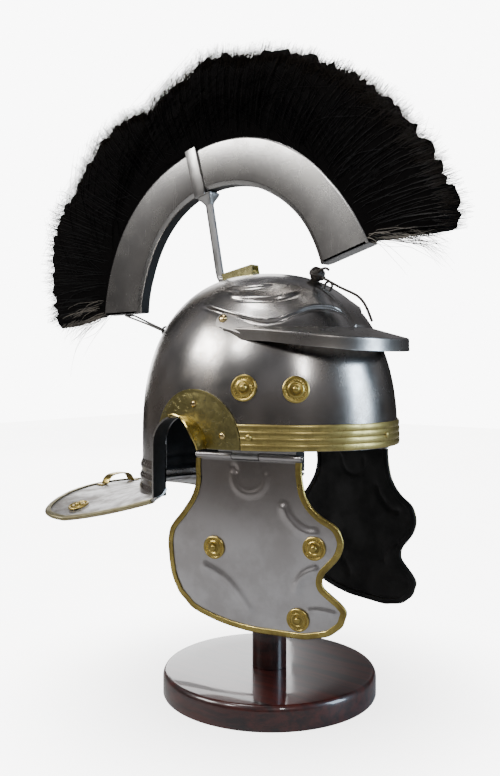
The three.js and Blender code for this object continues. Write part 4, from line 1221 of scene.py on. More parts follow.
@dataclass(frozen=True)
class Varnish:
    """Dark mahogany under clear varnish."""

    name: str = "varnished_mahogany"
    light: Colour = (0.075, 0.012, 0.008, 1)
    dark: Colour = (0.012, 0.003, 0.003, 1)
    coat: float = 1.0

    ROUGH = 0.35
    LIE = (0.1, 0.05, 0.4)

    def build(self) -> Material:
        """Makes the material.

        Returns:
            The material.
        """
        material, graph, surface, at = shell(self.name)
        bent = graph.add("TexNoise", Vector=at, Scale=9.0, Detail=3.0).outputs[1]
        shift = (0.02, 0.02, 0.02)
        grained = graph.add("VectorMath", operation="MULTIPLY_ADD", I0=bent, I1=shift, I2=at)
        lane = graph.stretched(grained.outputs[0], (7, 130, 130), self.LIE)
        grain = graph.noise(lane, 1, 6, 0.6)
        pores = graph.noise(graph.stretched(at, (60, 1500, 1500), self.LIE), 1, 2)
        colour = graph.mix(graph.span(grain, 0.3, 0.7), self.dark, self.light)
        colour = graph.mix(graph.span(pores, 0.6, 0.7, 0, 0.6), colour, self.dark)
        graph.put(surface, "Base Color", colour)
        surface.inputs["Roughness"].default_value = self.ROUGH
        surface.inputs["Coat Weight"].default_value = self.coat
        smear = graph.span(graph.noise(at, 25, 5), 0.35, 0.7, 0.03, 0.09)
        graph.put(surface, "Coat Roughness", smear)
        graph.bump(surface, 0.2, 0.0004, graph.noise(at, 18, 2), "Coat Normal")
        return material


@dataclass(frozen=True)
class Horsehair:
    """Black horsehair, brown and grey towards the tips where the tip attribute says so."""

    name: str = "horsehair"
    root: Colour = (0.0022, 0.002, 0.002, 1)
    tip: Colour = (0.03, 0.02, 0.012, 1)
    grey: Colour = (0.3, 0.27, 0.23, 1)

    ROUGH = 0.45
    SHINE = 0.25

    def build(self) -> Material:
        """Makes the material.

        Returns:
            The material.
        """
        material, graph, surface, at = shell(self.name)
        tip = graph.add("Attribute", attribute_name="tip").outputs["Fac"]
        wisp = graph.add("Attribute", attribute_name="wisp").outputs["Fac"]
        drift = graph.noise(at, 900, 2)
        faded = graph.math("MULTIPLY", graph.span(tip, 0.6, 1.0), drift)
        colour = graph.mix(faded, self.root, self.tip)
        colour = graph.mix(wisp, colour, self.grey)
        graph.put(surface, "Base Color", colour)
        surface.inputs["Roughness"].default_value = self.ROUGH
        surface.inputs["Specular IOR Level"].default_value = self.SHINE
        return material


@dataclass(frozen=True)
class HairMass:
    """The dense hair under the loose strands, with fine streaks that fan out from the arch."""

    name: str = "horsehair_mass"
    deep: Colour = (0.0015, 0.0015, 0.0015, 1)
    raised: Colour = (0.006, 0.005, 0.005, 1)

    ROUGH = 0.85
    SHINE = 0.04
    STREAKS_AROUND = 260.0
    STREAKS_ACROSS = 700.0

    def build(self) -> Material:
        """Makes the material.

        Returns:
            The material.
        """
        material, graph, surface, at = shell(self.name)
        parts = graph.add("SeparateXYZ", Vector=at).outputs
        x = graph.math("SUBTRACT", parts[0], CREST.x)
        z = graph.math("SUBTRACT", parts[2], CREST.z)
        angle = graph.math("ARCTAN2", z, x)
        around = graph.math("MULTIPLY", angle, self.STREAKS_AROUND)
        across = graph.math("MULTIPLY", parts[1], self.STREAKS_ACROSS)
        streak = graph.add("CombineXYZ", X=around, Y=across)
        height = graph.noise(streak.outputs[0], 1, 4, 0.6)
        colour = graph.mix(height, self.deep, self.raised)
        graph.put(surface, "Base Color", colour)
        surface.inputs["Roughness"].default_value = self.ROUGH
        surface.inputs["Specular IOR Level"].default_value = self.SHINE
        graph.bump(surface, 0.8, 0.0015, height)
        return material


@dataclass(frozen=True)
class Leather:
    """Dark oiled leather cord."""

    name: str = "dark_leather"
    deep: Colour = (0.006, 0.005, 0.004, 1)
    raised: Colour = (0.045, 0.032, 0.022, 1)

    ROUGH = 0.55

    def build(self) -> Material:
        """Makes the material.

        Returns:
            The material.
        """
        material, graph, surface, at = shell(self.name)
        grain = graph.noise(at, 900, 4, 0.6)
        colour = graph.mix(grain, self.deep, self.raised)
        graph.put(surface, "Base Color", colour)
        surface.inputs["Roughness"].default_value = self.ROUGH
        graph.bump(surface, 0.5, 0.0003, grain)
        return material


STEEL_DARK: Colour = (0.03, 0.024, 0.02, 1)

STEEL = Metal(
    "polished_steel",
    Tones((0.5, 0.48, 0.46, 1), (0.27, 0.235, 0.205, 1), STEEL_DARK),
    Polish(rough=0.19, worn=0.32),
    Wear(stain=0.8, cracks=0.05, scale=26, dent=0.07, scratch=0.12),
)
SATIN = Metal(
    "satin_steel",
    Tones((0.5, 0.49, 0.48, 1), (0.33, 0.31, 0.29, 1), (0.04, 0.035, 0.03, 1)),
    Polish(rough=0.3, worn=0.42),
    Wear(stain=0.7, cracks=0, scale=55, dent=0.16, scratch=0.3),
)
CHEEK_STEEL = Metal(
    "cheek_steel",
    Tones((0.62, 0.6, 0.6, 1), (0.2, 0.165, 0.145, 1), STEEL_DARK),
    Polish(rough=0.3, worn=0.4),
    Wear(stain=0.3, cracks=0.03, scale=30, dent=0.15, scratch=0.3),
    # Painted shade: the plates darken upwards towards the hinge.
    shade=(0.135, 0.215),
)
NECK_EDGE = Metal(
    "neck_edge",
    Tones((0.46, 0.41, 0.24, 1), (0.27, 0.22, 0.12, 1), (0.03, 0.02, 0.01, 1)),
    Polish(rough=0.32, worn=0.5),
    Wear(stain=0.9, cracks=0.4, scale=60, dent=0.3, scratch=0.4),
)
NECK_STEEL = Metal(
    "neck_steel",
    Tones((0.6, 0.59, 0.585, 1), (0.27, 0.24, 0.21, 1), STEEL_DARK),
    Polish(rough=0.36, worn=0.5),
    Wear(stain=0.9, cracks=0.3, scale=45, dent=0.3, scratch=0.3),
)
BRASS = Metal(
    "aged_brass",
    Tones((0.5, 0.38, 0.11, 1), (0.2, 0.145, 0.045, 1), (0.02, 0.014, 0.005, 1)),
    Polish(rough=0.22, worn=0.42),
    Wear(stain=0.8, cracks=0.3, scale=70, dent=0.3, scratch=0.6),
)
OLD_BRASS = Metal(
    "tarnished_brass",
    Tones((0.33, 0.285, 0.115, 1), (0.14, 0.12, 0.05, 1), (0.012, 0.01, 0.004, 1)),
    Polish(rough=0.3, worn=0.5),
    Wear(stain=1, cracks=1, scale=75, dent=0.6, scratch=0.6),
)
IRON = Metal(
    "dark_iron",
    Tones((0.09, 0.085, 0.08, 1), (0.03, 0.026, 0.023, 1), (0.006, 0.005, 0.005, 1)),
    Polish(rough=0.38, worn=0.6),
    Wear(stain=0.8, cracks=0, scale=120, dent=0.4, scratch=0.5),
)
BRASS_HOOD = Metal(
    "hood_brass",
    Tones((0.66, 0.52, 0.18, 1), (0.34, 0.25, 0.07, 1), (0.03, 0.018, 0.007, 1)),
    Polish(rough=0.2, worn=0.38),
    Wear(stain=0.8, cracks=0.35, scale=70, dent=0.5, scratch=0.6),
)
BAND_BRASS = Metal(
    "band_brass",
    Tones((0.54, 0.43, 0.15, 1), (0.25, 0.19, 0.065, 1), (0.02, 0.012, 0.005, 1)),
    Polish(rough=0.31, worn=0.5),
    Wear(stain=0.7, cracks=0.35, scale=60, dent=0.14, scratch=0.4),
)
BOSS_BRASS = Metal(
    "boss_brass",
    Tones((0.58, 0.44, 0.13, 1), (0.27, 0.2, 0.06, 1), (0.02, 0.012, 0.005, 1)),
    Polish(rough=0.28, worn=0.42),
    Wear(stain=0.7, cracks=0.1, scale=110, dent=0.15, scratch=0.3),
)
EDGE_BRASS = Metal(
    "edge_brass",
    Tones((0.46, 0.36, 0.11, 1), (0.2, 0.14, 0.045, 1), (0.03, 0.018, 0.008, 1)),
    Polish(rough=0.25, worn=0.45),
    Wear(stain=0.9, cracks=0.3, scale=55, dent=0.3, scratch=0.5),
)
RIVET_BRASS = Metal(
    "rivet_brass",
    Tones((0.8, 0.6, 0.28, 1), (0.4, 0.27, 0.1, 1), (0.03, 0.018, 0.007, 1)),
    Polish(rough=0.15, worn=0.3),
    Wear(stain=0.5, cracks=0, scale=150, dent=0.15, scratch=0.4),
)
PEAK_STEEL = Metal(
    "peak_steel",
    Tones((0.46, 0.44, 0.42, 1), (0.28, 0.25, 0.22, 1), STEEL_DARK),
    Polish(rough=0.27, worn=0.38),
    Wear(stain=0.7, cracks=0, scale=40, dent=0.15, scratch=0.2),
)
BOX_STEEL = Metal(
    "box_steel",
    Tones((0.45, 0.44, 0.43, 1), (0.28, 0.268, 0.25, 1), (0.05, 0.044, 0.04, 1)),
    Polish(rough=0.24, worn=0.33),
    Wear(stain=0.5, cracks=0, scale=40, dent=0.04, scratch=0.2),
)
KEY_BRASS = Metal(
    "key_brass",
    Tones((0.88, 0.8, 0.38, 1), (0.62, 0.52, 0.2, 1), (0.03, 0.02, 0.01, 1)),
    Polish(rough=0.26, worn=0.4),
    Wear(stain=0.6, cracks=0.1, scale=110, dent=0.2, scratch=0.6),
)
RIVET_STEEL = Metal(
    "pin_steel",
    Tones((0.45, 0.44, 0.43, 1), (0.25, 0.23, 0.21, 1), (0.03, 0.026, 0.02, 1)),
    Polish(rough=0.28, worn=0.4),
    Wear(stain=0.6, cracks=0, scale=150, dent=0.2, scratch=0.6),
)


# Small parts used in several places


def set_at(place: Sequence[float], normal: Sequence[float]) -> Matrix:
    """A matrix that stands a piece at a place, its Z along a normal."""
    turn = Vector(normal).to_track_quat("Z", "Y").to_matrix().to_4x4()
    return Matrix.Translation(Vector(place)) @ turn


def rivet(name: str, radius: float, height: float, matrix: Matrix) -> Piece:
    """A domed rivet head.

    Args:
        name: The piece's name.
        radius: The head's radius.
        height: How high it stands.
        matrix: Where it stands.

    Returns:
        The new object.
    """
    shares = [(0.8, -0.3), (1, 0), (0.97, 0.3), (0.85, 0.65), (0.6, 0.9), (0.3, 1), (0.02, 1.02)]
    profile = [(radius * r, height * z) for r, z in shares]
    obj = turned(name, profile, 24)
    obj.data.transform(matrix)
    return obj


def strip(name: str, line: Array, across: Array, width: float, depth: float) -> Piece:
    """A flat strip with rounded edges along a line.

    Args:
        name: The piece's name.
        line: Points of its middle.
        across: Directions over its width.
        width: Its width.
        depth: Its thickness.

    Returns:
        The new object.
    """
    along = unit(np.gradient(line, axis=0))
    out = unit(np.cross(along, across))
    turns = np.radians(np.arange(0, 360, 22.5))
    flat = np.sign(np.cos(turns)) * np.abs(np.cos(turns)) ** 0.25 * width / 2
    high = np.sign(np.sin(turns)) * np.abs(np.sin(turns)) ** 0.8 * depth / 2
    rings = (
        line[:, None] + across[:, None] * flat[None, :, None] + out[:, None] * high[None, :, None]
    )
    return lofted(name, rings)


# The stand


@dataclass(frozen=True)
class Stand:
    """The round base and the post that the bowl rests on."""

    radius: float = 0.098
    height: float = 0.022
    bevel_in: float = 0.0042
    bevel_down: float = 0.006
    post: float = 0.0158
    head: float = 0.03
    under: float = -0.00205

    def build(self) -> None:
        """Turns the base and the post."""
        r, h = self.radius, self.height
        rim = [(r - 0.0012, 0), (r - 0.0004, 0.0004), (r, 0.0012), (r, h - self.bevel_down)]
        for turn in np.linspace(10, 90, 7):
            angle = math.radians(turn)
            inwards = self.bevel_in * (1 - math.cos(angle))
            rim.append((r - inwards, h - self.bevel_down + self.bevel_down * math.sin(angle)))
        rim += [(r * 0.7, h), (r * 0.4, h), (self.post, h)]
        base = turned("stand_base_visual", rim, 160)
        low = float(SHAPE.crown(SHAPE.centre, 0, self.under)) - self.head * 0.55
        crown = [
            float(SHAPE.crown(SHAPE.centre - k * self.head, 0, self.under)) for k in (1, 0.6, 0.3)
        ]
        stem = [(self.post, h + GAP), (self.post, 0.1), (self.post, 0.2), (self.post, low - 0.014)]
        stem += [(self.post + 0.0015, low - 0.009), (self.post + 0.004, low - 0.005)]
        stem += [(self.head, low + 0.002), (self.head, low + 0.009)]
        stem += [(self.head * 0.8, crown[0] - GAP), (self.head * 0.4, crown[1]), (0.0005, crown[2])]
        post = turned("stand_post_visual", stem, 64)
        wood = Varnish().build()
        satin = Varnish("satin_wood", (0.05, 0.01, 0.007, 1), (0.008, 0.002, 0.002, 1), 0.4)
        fitted(smoothed(base), Body.HELMET, "wood", [wood], "stand_base")
        fitted(smoothed(post), Body.HELMET, "wood", [satin.build()], "stand_post")


# The bowl


@dataclass(frozen=True)
class BrowLine:
    """A raised line over the brow: a step that fades out upwards."""

    rise: float
    fade: float
    line: tuple[Pair, ...]

    MM_PER_DEGREE = 1.9
    STEP_HALF = 1.1
    GROOVE = 0.5
    GROOVE_BELOW = 1.9
    GROOVE_HALF = 1.1

    def height(self, turn: Array, z: Array) -> Array:
        """How far the bowl's points stand out, by their turn and height in millimetres.

        Args:
            turn: Turns of the points.
            z: Their heights in millimetres.

        Returns:
            How far each point stands out.
        """
        spots = through(np.array(self.line), 90)[::-1]
        turns = np.maximum.accumulate(spots[:, 0])
        level = np.interp(turn, turns, spots[:, 1])
        steep = np.gradient(spots[:, 1], turns + np.arange(90) * 1e-6)
        slope = np.interp(turn, turns, steep) / self.MM_PER_DEGREE
        off = (z - level) / np.sqrt(1 + slope**2)
        ends = eased(turns[0] - 1, turns[0] + 9, turn) * eased(turns[-1] + 1, turns[-1] - 9, turn)
        fading = np.clip(1 - off / self.fade, 0, 1) ** 1.4
        step = eased(-self.STEP_HALF, self.STEP_HALF, off) * fading * self.rise
        groove = self.GROOVE * np.exp(-(((off + self.GROOVE_BELOW) / self.GROOVE_HALF) ** 2))
        return (step - groove) * ends


BROW_LINES = (
    BrowLine(
        2.2,
        11,
        (
            (101, 352), (90, 347.8), (79, 343.2), (69, 339.2), (60, 336.4), (52, 337.6),
            (44, 342.2), (35, 346.8), (27, 348.6), (18.6, 348), (12, 345), (8, 339),
        ),
    ),
    BrowLine(1.6, 9, ((86, 359.5), (75, 356.5), (64, 355.5), (52, 356), (42, 359), (33, 363))),
    BrowLine(1.4, 6, ((92, 367.5), (78, 366), (64, 367), (50, 369.5))),
)


@dataclass(frozen=True)
class Bowl:
    """The steel bowl with its nape, neck guard and the flanges behind the ears."""

    wall: float = 0.0016
    columns: int = 336
    nape_rows: int = 27
    neck_columns: int = 220
    neck_rows: int = 22
    side_rows: int = 20
    brow_rows: int = 60
    crown_rows: int = 20
    brow_low: float = 0.1
    brow_high: float = 0.141
    crowded: float = 33
    band: float = 0.0011
    sink: float = 0.0008
    flange_reach: float = 0.1125
    fillet: float = 0.0035

    # Drop under the rim and how far the nape stands out there, in millimetres.
    NAPE = (
        (0, 0), (18, 0), (20.5, 1.0), (23, 2.2), (25.5, 1.5), (28, 0.6), (30.5, 1.6), (33, 2.8),
        (35.5, 2.1), (38, 1.2), (40.5, 2.1), (43, 3.2), (50, 3.2), (60, 3.2),
    )

    def relief(self, points: Array, turn: Array, drop: Array) -> Array:
        """How far the surface stands off the plain bowl.

        Args:
            points: Points of the plain bowl, one per row.
            turn: Their turns in degrees.
            drop: How far each lies under the rim.

        Returns:
            One distance for each point.
        """
        side = np.abs((turn + 180) % 360 - 180)
        z = points[:, 2] * 1000
        out = sum(line.height(side, z) for line in BROW_LINES) / 1000
        band = eased(0.0108, 0.0090, np.abs(points[:, 1])) * (points[:, 0] > 0.05)
        band = band * eased(0.331, 0.334, points[:, 2]) * eased(0.373, 0.36, points[:, 2])
        out += self.band * band
        drops, levels = np.array(self.NAPE, float).T
        nape = np.clip((78 - np.abs(side - 180)) / 18, 0, 1)
        return out + np.interp(drop * 1000, drops, levels) / 1000 * nape

    def dome(self) -> Piece:
        """The bowl and the nape wall, with the ears cut out.

        Returns:
            The thick piece.
        """
        side = np.linspace(0, self.brow_low, self.side_rows, endpoint=False)
        brow = np.linspace(self.brow_low, self.brow_high, self.brow_rows)
        left = float(SHAPE.plan_share(np.array(SHAPE.rim + self.brow_high)))
        plans = np.linspace(left, 0, self.crown_rows + 1)[1:]
        crown = SHAPE.height * (1 - plans**SHAPE.power) ** (1 / SHAPE.power)
        heights = np.concatenate([side, brow, crown]) + SHAPE.rim
        rows = self.nape_rows + len(heights) - 1

        def place(u: Array, v: Array) -> Array:
            """A point of the bowl's outside.

            Args:
                u: Shares round the piece, from 0 to 1.
                v: Shares across it, from 0 to 1.

            Returns:
                The points, one per row.
            """
            turn = u * 360 - self.crowded * np.sin(u * math.tau)
            row = np.rint(v * rows).astype(int)
            z = heights[np.maximum(row - self.nape_rows, 0)]
            flat = SHAPE.point(turn, np.full_like(turn, SHAPE.rim))
            low = neck_height(flat[:, 0], flat[:, 1]) - 0.001
            low = np.minimum(low, SHAPE.rim - 0.02)
            share = row / self.nape_rows
            z = np.where(row < self.nape_rows, low + (SHAPE.rim - low) * share, z)
            points = SHAPE.point(turn, z)
            points[:, 2] = z
            drop = np.maximum(0, SHAPE.rim - z)
            return points + SHAPE.normal(points) * self.relief(points, turn, drop)[:, None]

        obj = formed_grid("bowl_visual", self.columns, rows, place)
        without(obj, lambda at: at.z < SHAPE.rim and at.x > -0.02)
        faced(obj, (0, 0, 0.25))
        thickened(obj, self.wall, inner=1)
        turns = np.linspace(math.pi, 0, 49)
        arch = [(EAR[0] + EAR[2] * math.cos(a), EAR[1] + EAR[2] * math.sin(a)) for a in turns]
        below = 0.15
        outline = [(arch[0][0], below), *arch, (arch[-1][0], below)]
        rings = np.array([[(x, y, z) for x, z in outline] for y in (-0.14, 0.14)])
        cutter = lofted("cutter", rings)
        modified(obj, "BOOLEAN", operation="DIFFERENCE", object=cutter, solver="EXACT")
        discard(cutter)
        slot_faces(obj, lambda at, n: at.z < 0.194, 0)
        return obj

    def neck(self) -> Piece:
        """The neck guard with the fillet at its root.

        Returns:
            The thick piece.
        """
        edge = neck_edge(self.neck_columns + 1)
        side = math.degrees(math.acos((NECK_FRONT - SHAPE.centre) / SHAPE.half_length))

        def place(u: Array, v: Array) -> Array:
            """A point of the neck guard's top.

            Args:
                u: Shares round the piece, from 0 to 1.
                v: Shares across it, from 0 to 1.

            Returns:
                The points, one per row.
            """
            turn = -side + u * (2 * side - 360)
            foot = SHAPE.point(turn, np.full_like(u, SHAPE.rim), -self.sink)[:, :2]
            index = np.rint(u * self.neck_columns).astype(int)
            share = v**1.3
            plan = foot + (edge[index] - foot) * share[:, None]
            run = np.linalg.norm(plan - foot, axis=1)
            z = neck_height(plan[:, 0], plan[:, 1])
            z = z + self.fillet * np.clip(1 - run / 0.008, 0, 1) ** 2
            return np.column_stack([plan, z])

        obj = formed_grid("neck", self.neck_columns, self.neck_rows, place)
        slot_faces(obj, lambda at, normal: True, 2)
        return thickened(faced(obj, (-0.1, 0, 0)), self.wall)

    def flange(self) -> Piece:
        """The flange behind the left ear.

        Returns:
            The thick piece.
        """
        turns = np.radians(np.linspace(180, 106, 26))
        radius = EAR[2] + self.wall
        arc = np.column_stack([EAR[0] + radius * np.cos(turns), EAR[1] + radius * np.sin(turns)])
        foot = float(neck_height(np.array(NECK_FRONT), np.array(0.102))) - self.wall
        line = np.vstack([[arc[0][0], foot], arc])

        def place(u: Array, v: Array) -> Array:
            """A point of the flange's outer face.

            Args:
                u: Shares round the piece, from 0 to 1.
                v: Shares across it, from 0 to 1.

            Returns:
                The points, one per row.
            """
            share = u * (len(line) - 1)
            x = np.interp(share, np.arange(len(line)), line[:, 0])
            z = np.interp(share, np.arange(len(line)), line[:, 1])
            root = SHAPE.side(x, np.maximum(z, SHAPE.rim)) - self.sink
            return np.column_stack([x, root + (self.flange_reach - root) * v, z])

        obj = formed_grid("flange", 60, 8, place)
        return thickened(faced(obj, (EAR[0], 0.1, EAR[1])), self.wall, inner=1)

    def build(self) -> None:
        """Makes the bowl as one piece."""
        flange = self.flange()
        parts = [self.dome(), self.neck(), flange, sided(flange, "flange_right", Side.RIGHT)]
        obj = joined("bowl_visual", parts)
        smoothed(obj, 40)
        finishes = [STEEL.build(), Paint().build(), NECK_STEEL.build()]
        fitted(obj, Body.HELMET, "bowl_steel", finishes, "bowl")


@dataclass(frozen=True)
class NeckTrim:
    """The brass binding and the carrying handle of the neck guard."""

    depth: float = 0.0036
    sink: float = 0.0008
    handle_x: float = -0.201
    handle_half: float = 0.026
    handle_width: float = 0.01
    handle_thick: float = 0.0013
    half_sheet: float = 0.00125

    def binding(self) -> Piece:
        """The folded binding round the neck guard.

        Returns:
            The binding.
        """
        plan = neck_edge(260)
        height = neck_height(plan[:, 0], plan[:, 1]) - self.sink
        at = np.column_stack([plan, height])
        along = unit(np.gradient(at, axis=0))
        into = np.column_stack([-along[:, 1], along[:, 0], np.zeros(len(at))])
        into *= np.sign(np.sum(into * (np.array([-0.08, 0, 0.19]) - at), axis=1))[:, None]
        into = unit(into)
        ahead = at + into * 0.004
        sunk = neck_height(ahead[:, 0], ahead[:, 1]) - self.sink
        into = unit(np.column_stack([ahead[:, :2], sunk]) - at)
        normal = unit(np.cross(along, into))
        normal *= np.sign(normal[:, 2])[:, None]
        rings = bound_rings(at[1:-1], into[1:-1], normal[1:-1], self.half_sheet, self.depth)
        return lofted("neck_edging_visual", rings)

    def handle(self) -> Piece:
        """The small arched handle.

        Returns:
            The handle.
        """
        half = [(1, 1), (0.86, 1), (0.74, 1.1), (0.68, 3), (0.62, 5.6)]
        half += [(0.52, 7.8), (0.38, 9.2), (0.2, 9.8), (0, 10)]
        spots = [(-y, lift) for y, lift in half] + half[-2::-1]
        line = through(np.array(spots) * (self.handle_half, 0.001), 90)
        x = np.full(90, self.handle_x)
        points = np.column_stack([x, line[:, 0], line[:, 1] + neck_height(x, line[:, 0])])
        across = np.tile([1.0, 0, 0], (90, 1))
        size = self.handle_width, self.handle_thick
        return strip("carrying_handle_visual", points, across, *size)

    def build(self) -> None:
        """Makes both and dresses them."""
        old, bright = NECK_EDGE.build(), BRASS.build()
        fitted(smoothed(self.binding()), Body.HELMET, "brass", [old], "neck_edging")
        fitted(smoothed(self.handle()), Body.HELMET, "brass", [bright], "carrying_handle")


@dataclass(frozen=True)
class EarGuard:
    """The brass plate and hood over an ear opening, modelled on the left."""

    depth: float = 0.014
    swell: float = 0.005
    hood_end: float = 102
    thickness: float = 0.0011
    flute: float = 0.0007
    flutes: float = 9
    roll: float = 0.0012

    # Place along the bowl and height.
    RIVETS = ((-0.002, 0.268), (0.027, 0.243))

    def plate(self) -> Piece:
        """The crescent on the bowl's side.

        Returns:
            The crescent, on the left.
        """
        off = np.array([EAR_PLATE[0] - EAR[0], EAR_PLATE[1] - EAR[1]])

        def place(u: Array, v: Array) -> Array:
            """A point of the crescent.

            Args:
                u: Shares round the piece, from 0 to 1.
                v: Shares across it, from 0 to 1.

            Returns:
                The points, one per row.
            """
            angle = np.radians(u * 180)
            ray = np.column_stack([np.cos(angle), np.sin(angle)])
            along = ray @ off
            outer = along + np.sqrt(EAR_PLATE[2] ** 2 - off @ off + along**2)
            inner = EAR[2] + 0.0019 * eased(104, 107, u * 180)
            radius = inner + (outer - inner) * v
            x, z = EAR[0] + radius * ray[:, 0], EAR[1] + radius * ray[:, 1]
            lift = GAP + self.thickness + 0.0003 * eased(0.9, 0.97, v)
            return np.column_stack([x, SHAPE.side(x, z, 0) + lift, z])

        obj = formed_grid("plate", 120, 22, place)
        return thickened(faced(obj, (0, 0, 0.235)), self.thickness)

    def hood(self) -> Piece:
        """The fluted hood over the front of the ear.

        Returns:
            The hood, on the left.
        """

        def place(u: Array, v: Array) -> Array:
            """A point of the hood's outside.

            Args:
                u: Shares round the piece, from 0 to 1.
                v: Shares across it, from 0 to 1.

            Returns:
                The points, one per row.
            """
            angle = np.radians(u * self.hood_end)
            flute = self.flute * np.sin(angle * self.flutes) * eased(0.15, 0.6, v) * (1 - 0.6 * v)
            roll = self.roll * eased(0.86, 1, v)
            radius = EAR[2] + self.thickness + 0.0008 * v**2 + flute + roll
            x, z = EAR[0] + EAR[2] * np.cos(angle), EAR[1] + EAR[2] * np.sin(angle)
            root = SHAPE.side(x, z, 0.0002)
            deep = self.depth + self.swell * np.maximum(0, np.sin(2.4 * angle + 0.1))
            return np.column_stack(
                [EAR[0] + radius * np.cos(angle), root + deep * v, EAR[1] + radius * np.sin(angle)]
            )

        obj = formed_grid("hood", 110, 26, place)
        return thickened(faced(obj, (EAR[0], 0.1, EAR[1])), self.thickness)

    def build(self) -> None:
        """Makes the guard of both sides."""
        parts = [self.plate(), self.hood()]
        for face in parts[1].data.polygons:
            face.material_index = 1
        for x, z in self.RIVETS:
            at = np.array([[x, float(SHAPE.side(np.array(x), np.array(z))), z]])
            normal = SHAPE.normal(at)[0]
            rivet_at = set_at(at[0] + normal * (GAP + self.thickness), normal)
            head = rivet("rivet", *RIVET_SIZE, rivet_at)
            for face in head.data.polygons:
                face.material_index = 2
            parts.append(head)
        pattern = smoothed(joined("ear_guard", parts))
        finishes = [OLD_BRASS.build(), BRASS_HOOD.build(), RIVET_BRASS.build()]
        for side in Side:
            obj = sided(pattern, f"ear_guard_{side.word}_visual", side)
            fitted(obj, Body.HELMET, "brass", finishes, f"ear_guard_{side.word}")
        discard(pattern)


@dataclass(frozen=True)
class BrowBand:
    """The ribbed brass band over the brow."""

    height: float = 0.021
    thickness: float = 0.0009
    ribs: int = 4
    rib_height: float = 0.0006
    stand_off: float = 0.0012
    rivet_lift: float = 0.0016

    RIVET_TURNS = (-65, 0, 65)

    def build(self) -> None:
        """Makes the band with its rivets."""
        low = SHAPE.rim + 0.0004

        def place(u: Array, v: Array) -> Array:
            """A point of the band's face.

            Args:
                u: Shares round the piece, from 0 to 1.
                v: Shares across it, from 0 to 1.

            Returns:
                The points, one per row.
            """
            z = low + v * self.height
            reach = EAR_PLATE[2] + 0.0006
            end_x = EAR_PLATE[0] + np.sqrt(np.maximum(reach**2 - (z - EAR_PLATE[1]) ** 2, 0))
            share = SHAPE.plan_share(z, self.stand_off)
            half = (SHAPE.half_length + self.stand_off) * share
            end = np.degrees(np.arccos((end_x - SHAPE.centre) / half))
            rib = self.rib_height * np.abs(np.sin(np.pi * self.ribs * v)) ** 0.6
            return SHAPE.point((2 * u - 1) * end, z, GAP + self.thickness + rib)

        band = thickened(faced(formed_grid("band", 240, 40, place), (0, 0, 0.24)), self.thickness)
        parts = [band]
        for turn in self.RIVET_TURNS:
            at = SHAPE.point(np.array([turn]), np.array([low + self.height / 2]))
            normal = SHAPE.normal(at)[0]
            parts.append(rivet("rivet", *RIVET_SIZE, set_at(at[0] + normal * self.rivet_lift, normal)))
        obj = smoothed(joined("brow_band_visual", parts))
        fitted(obj, Body.HELMET, "brass", [BAND_BRASS.build()], "brow_band")


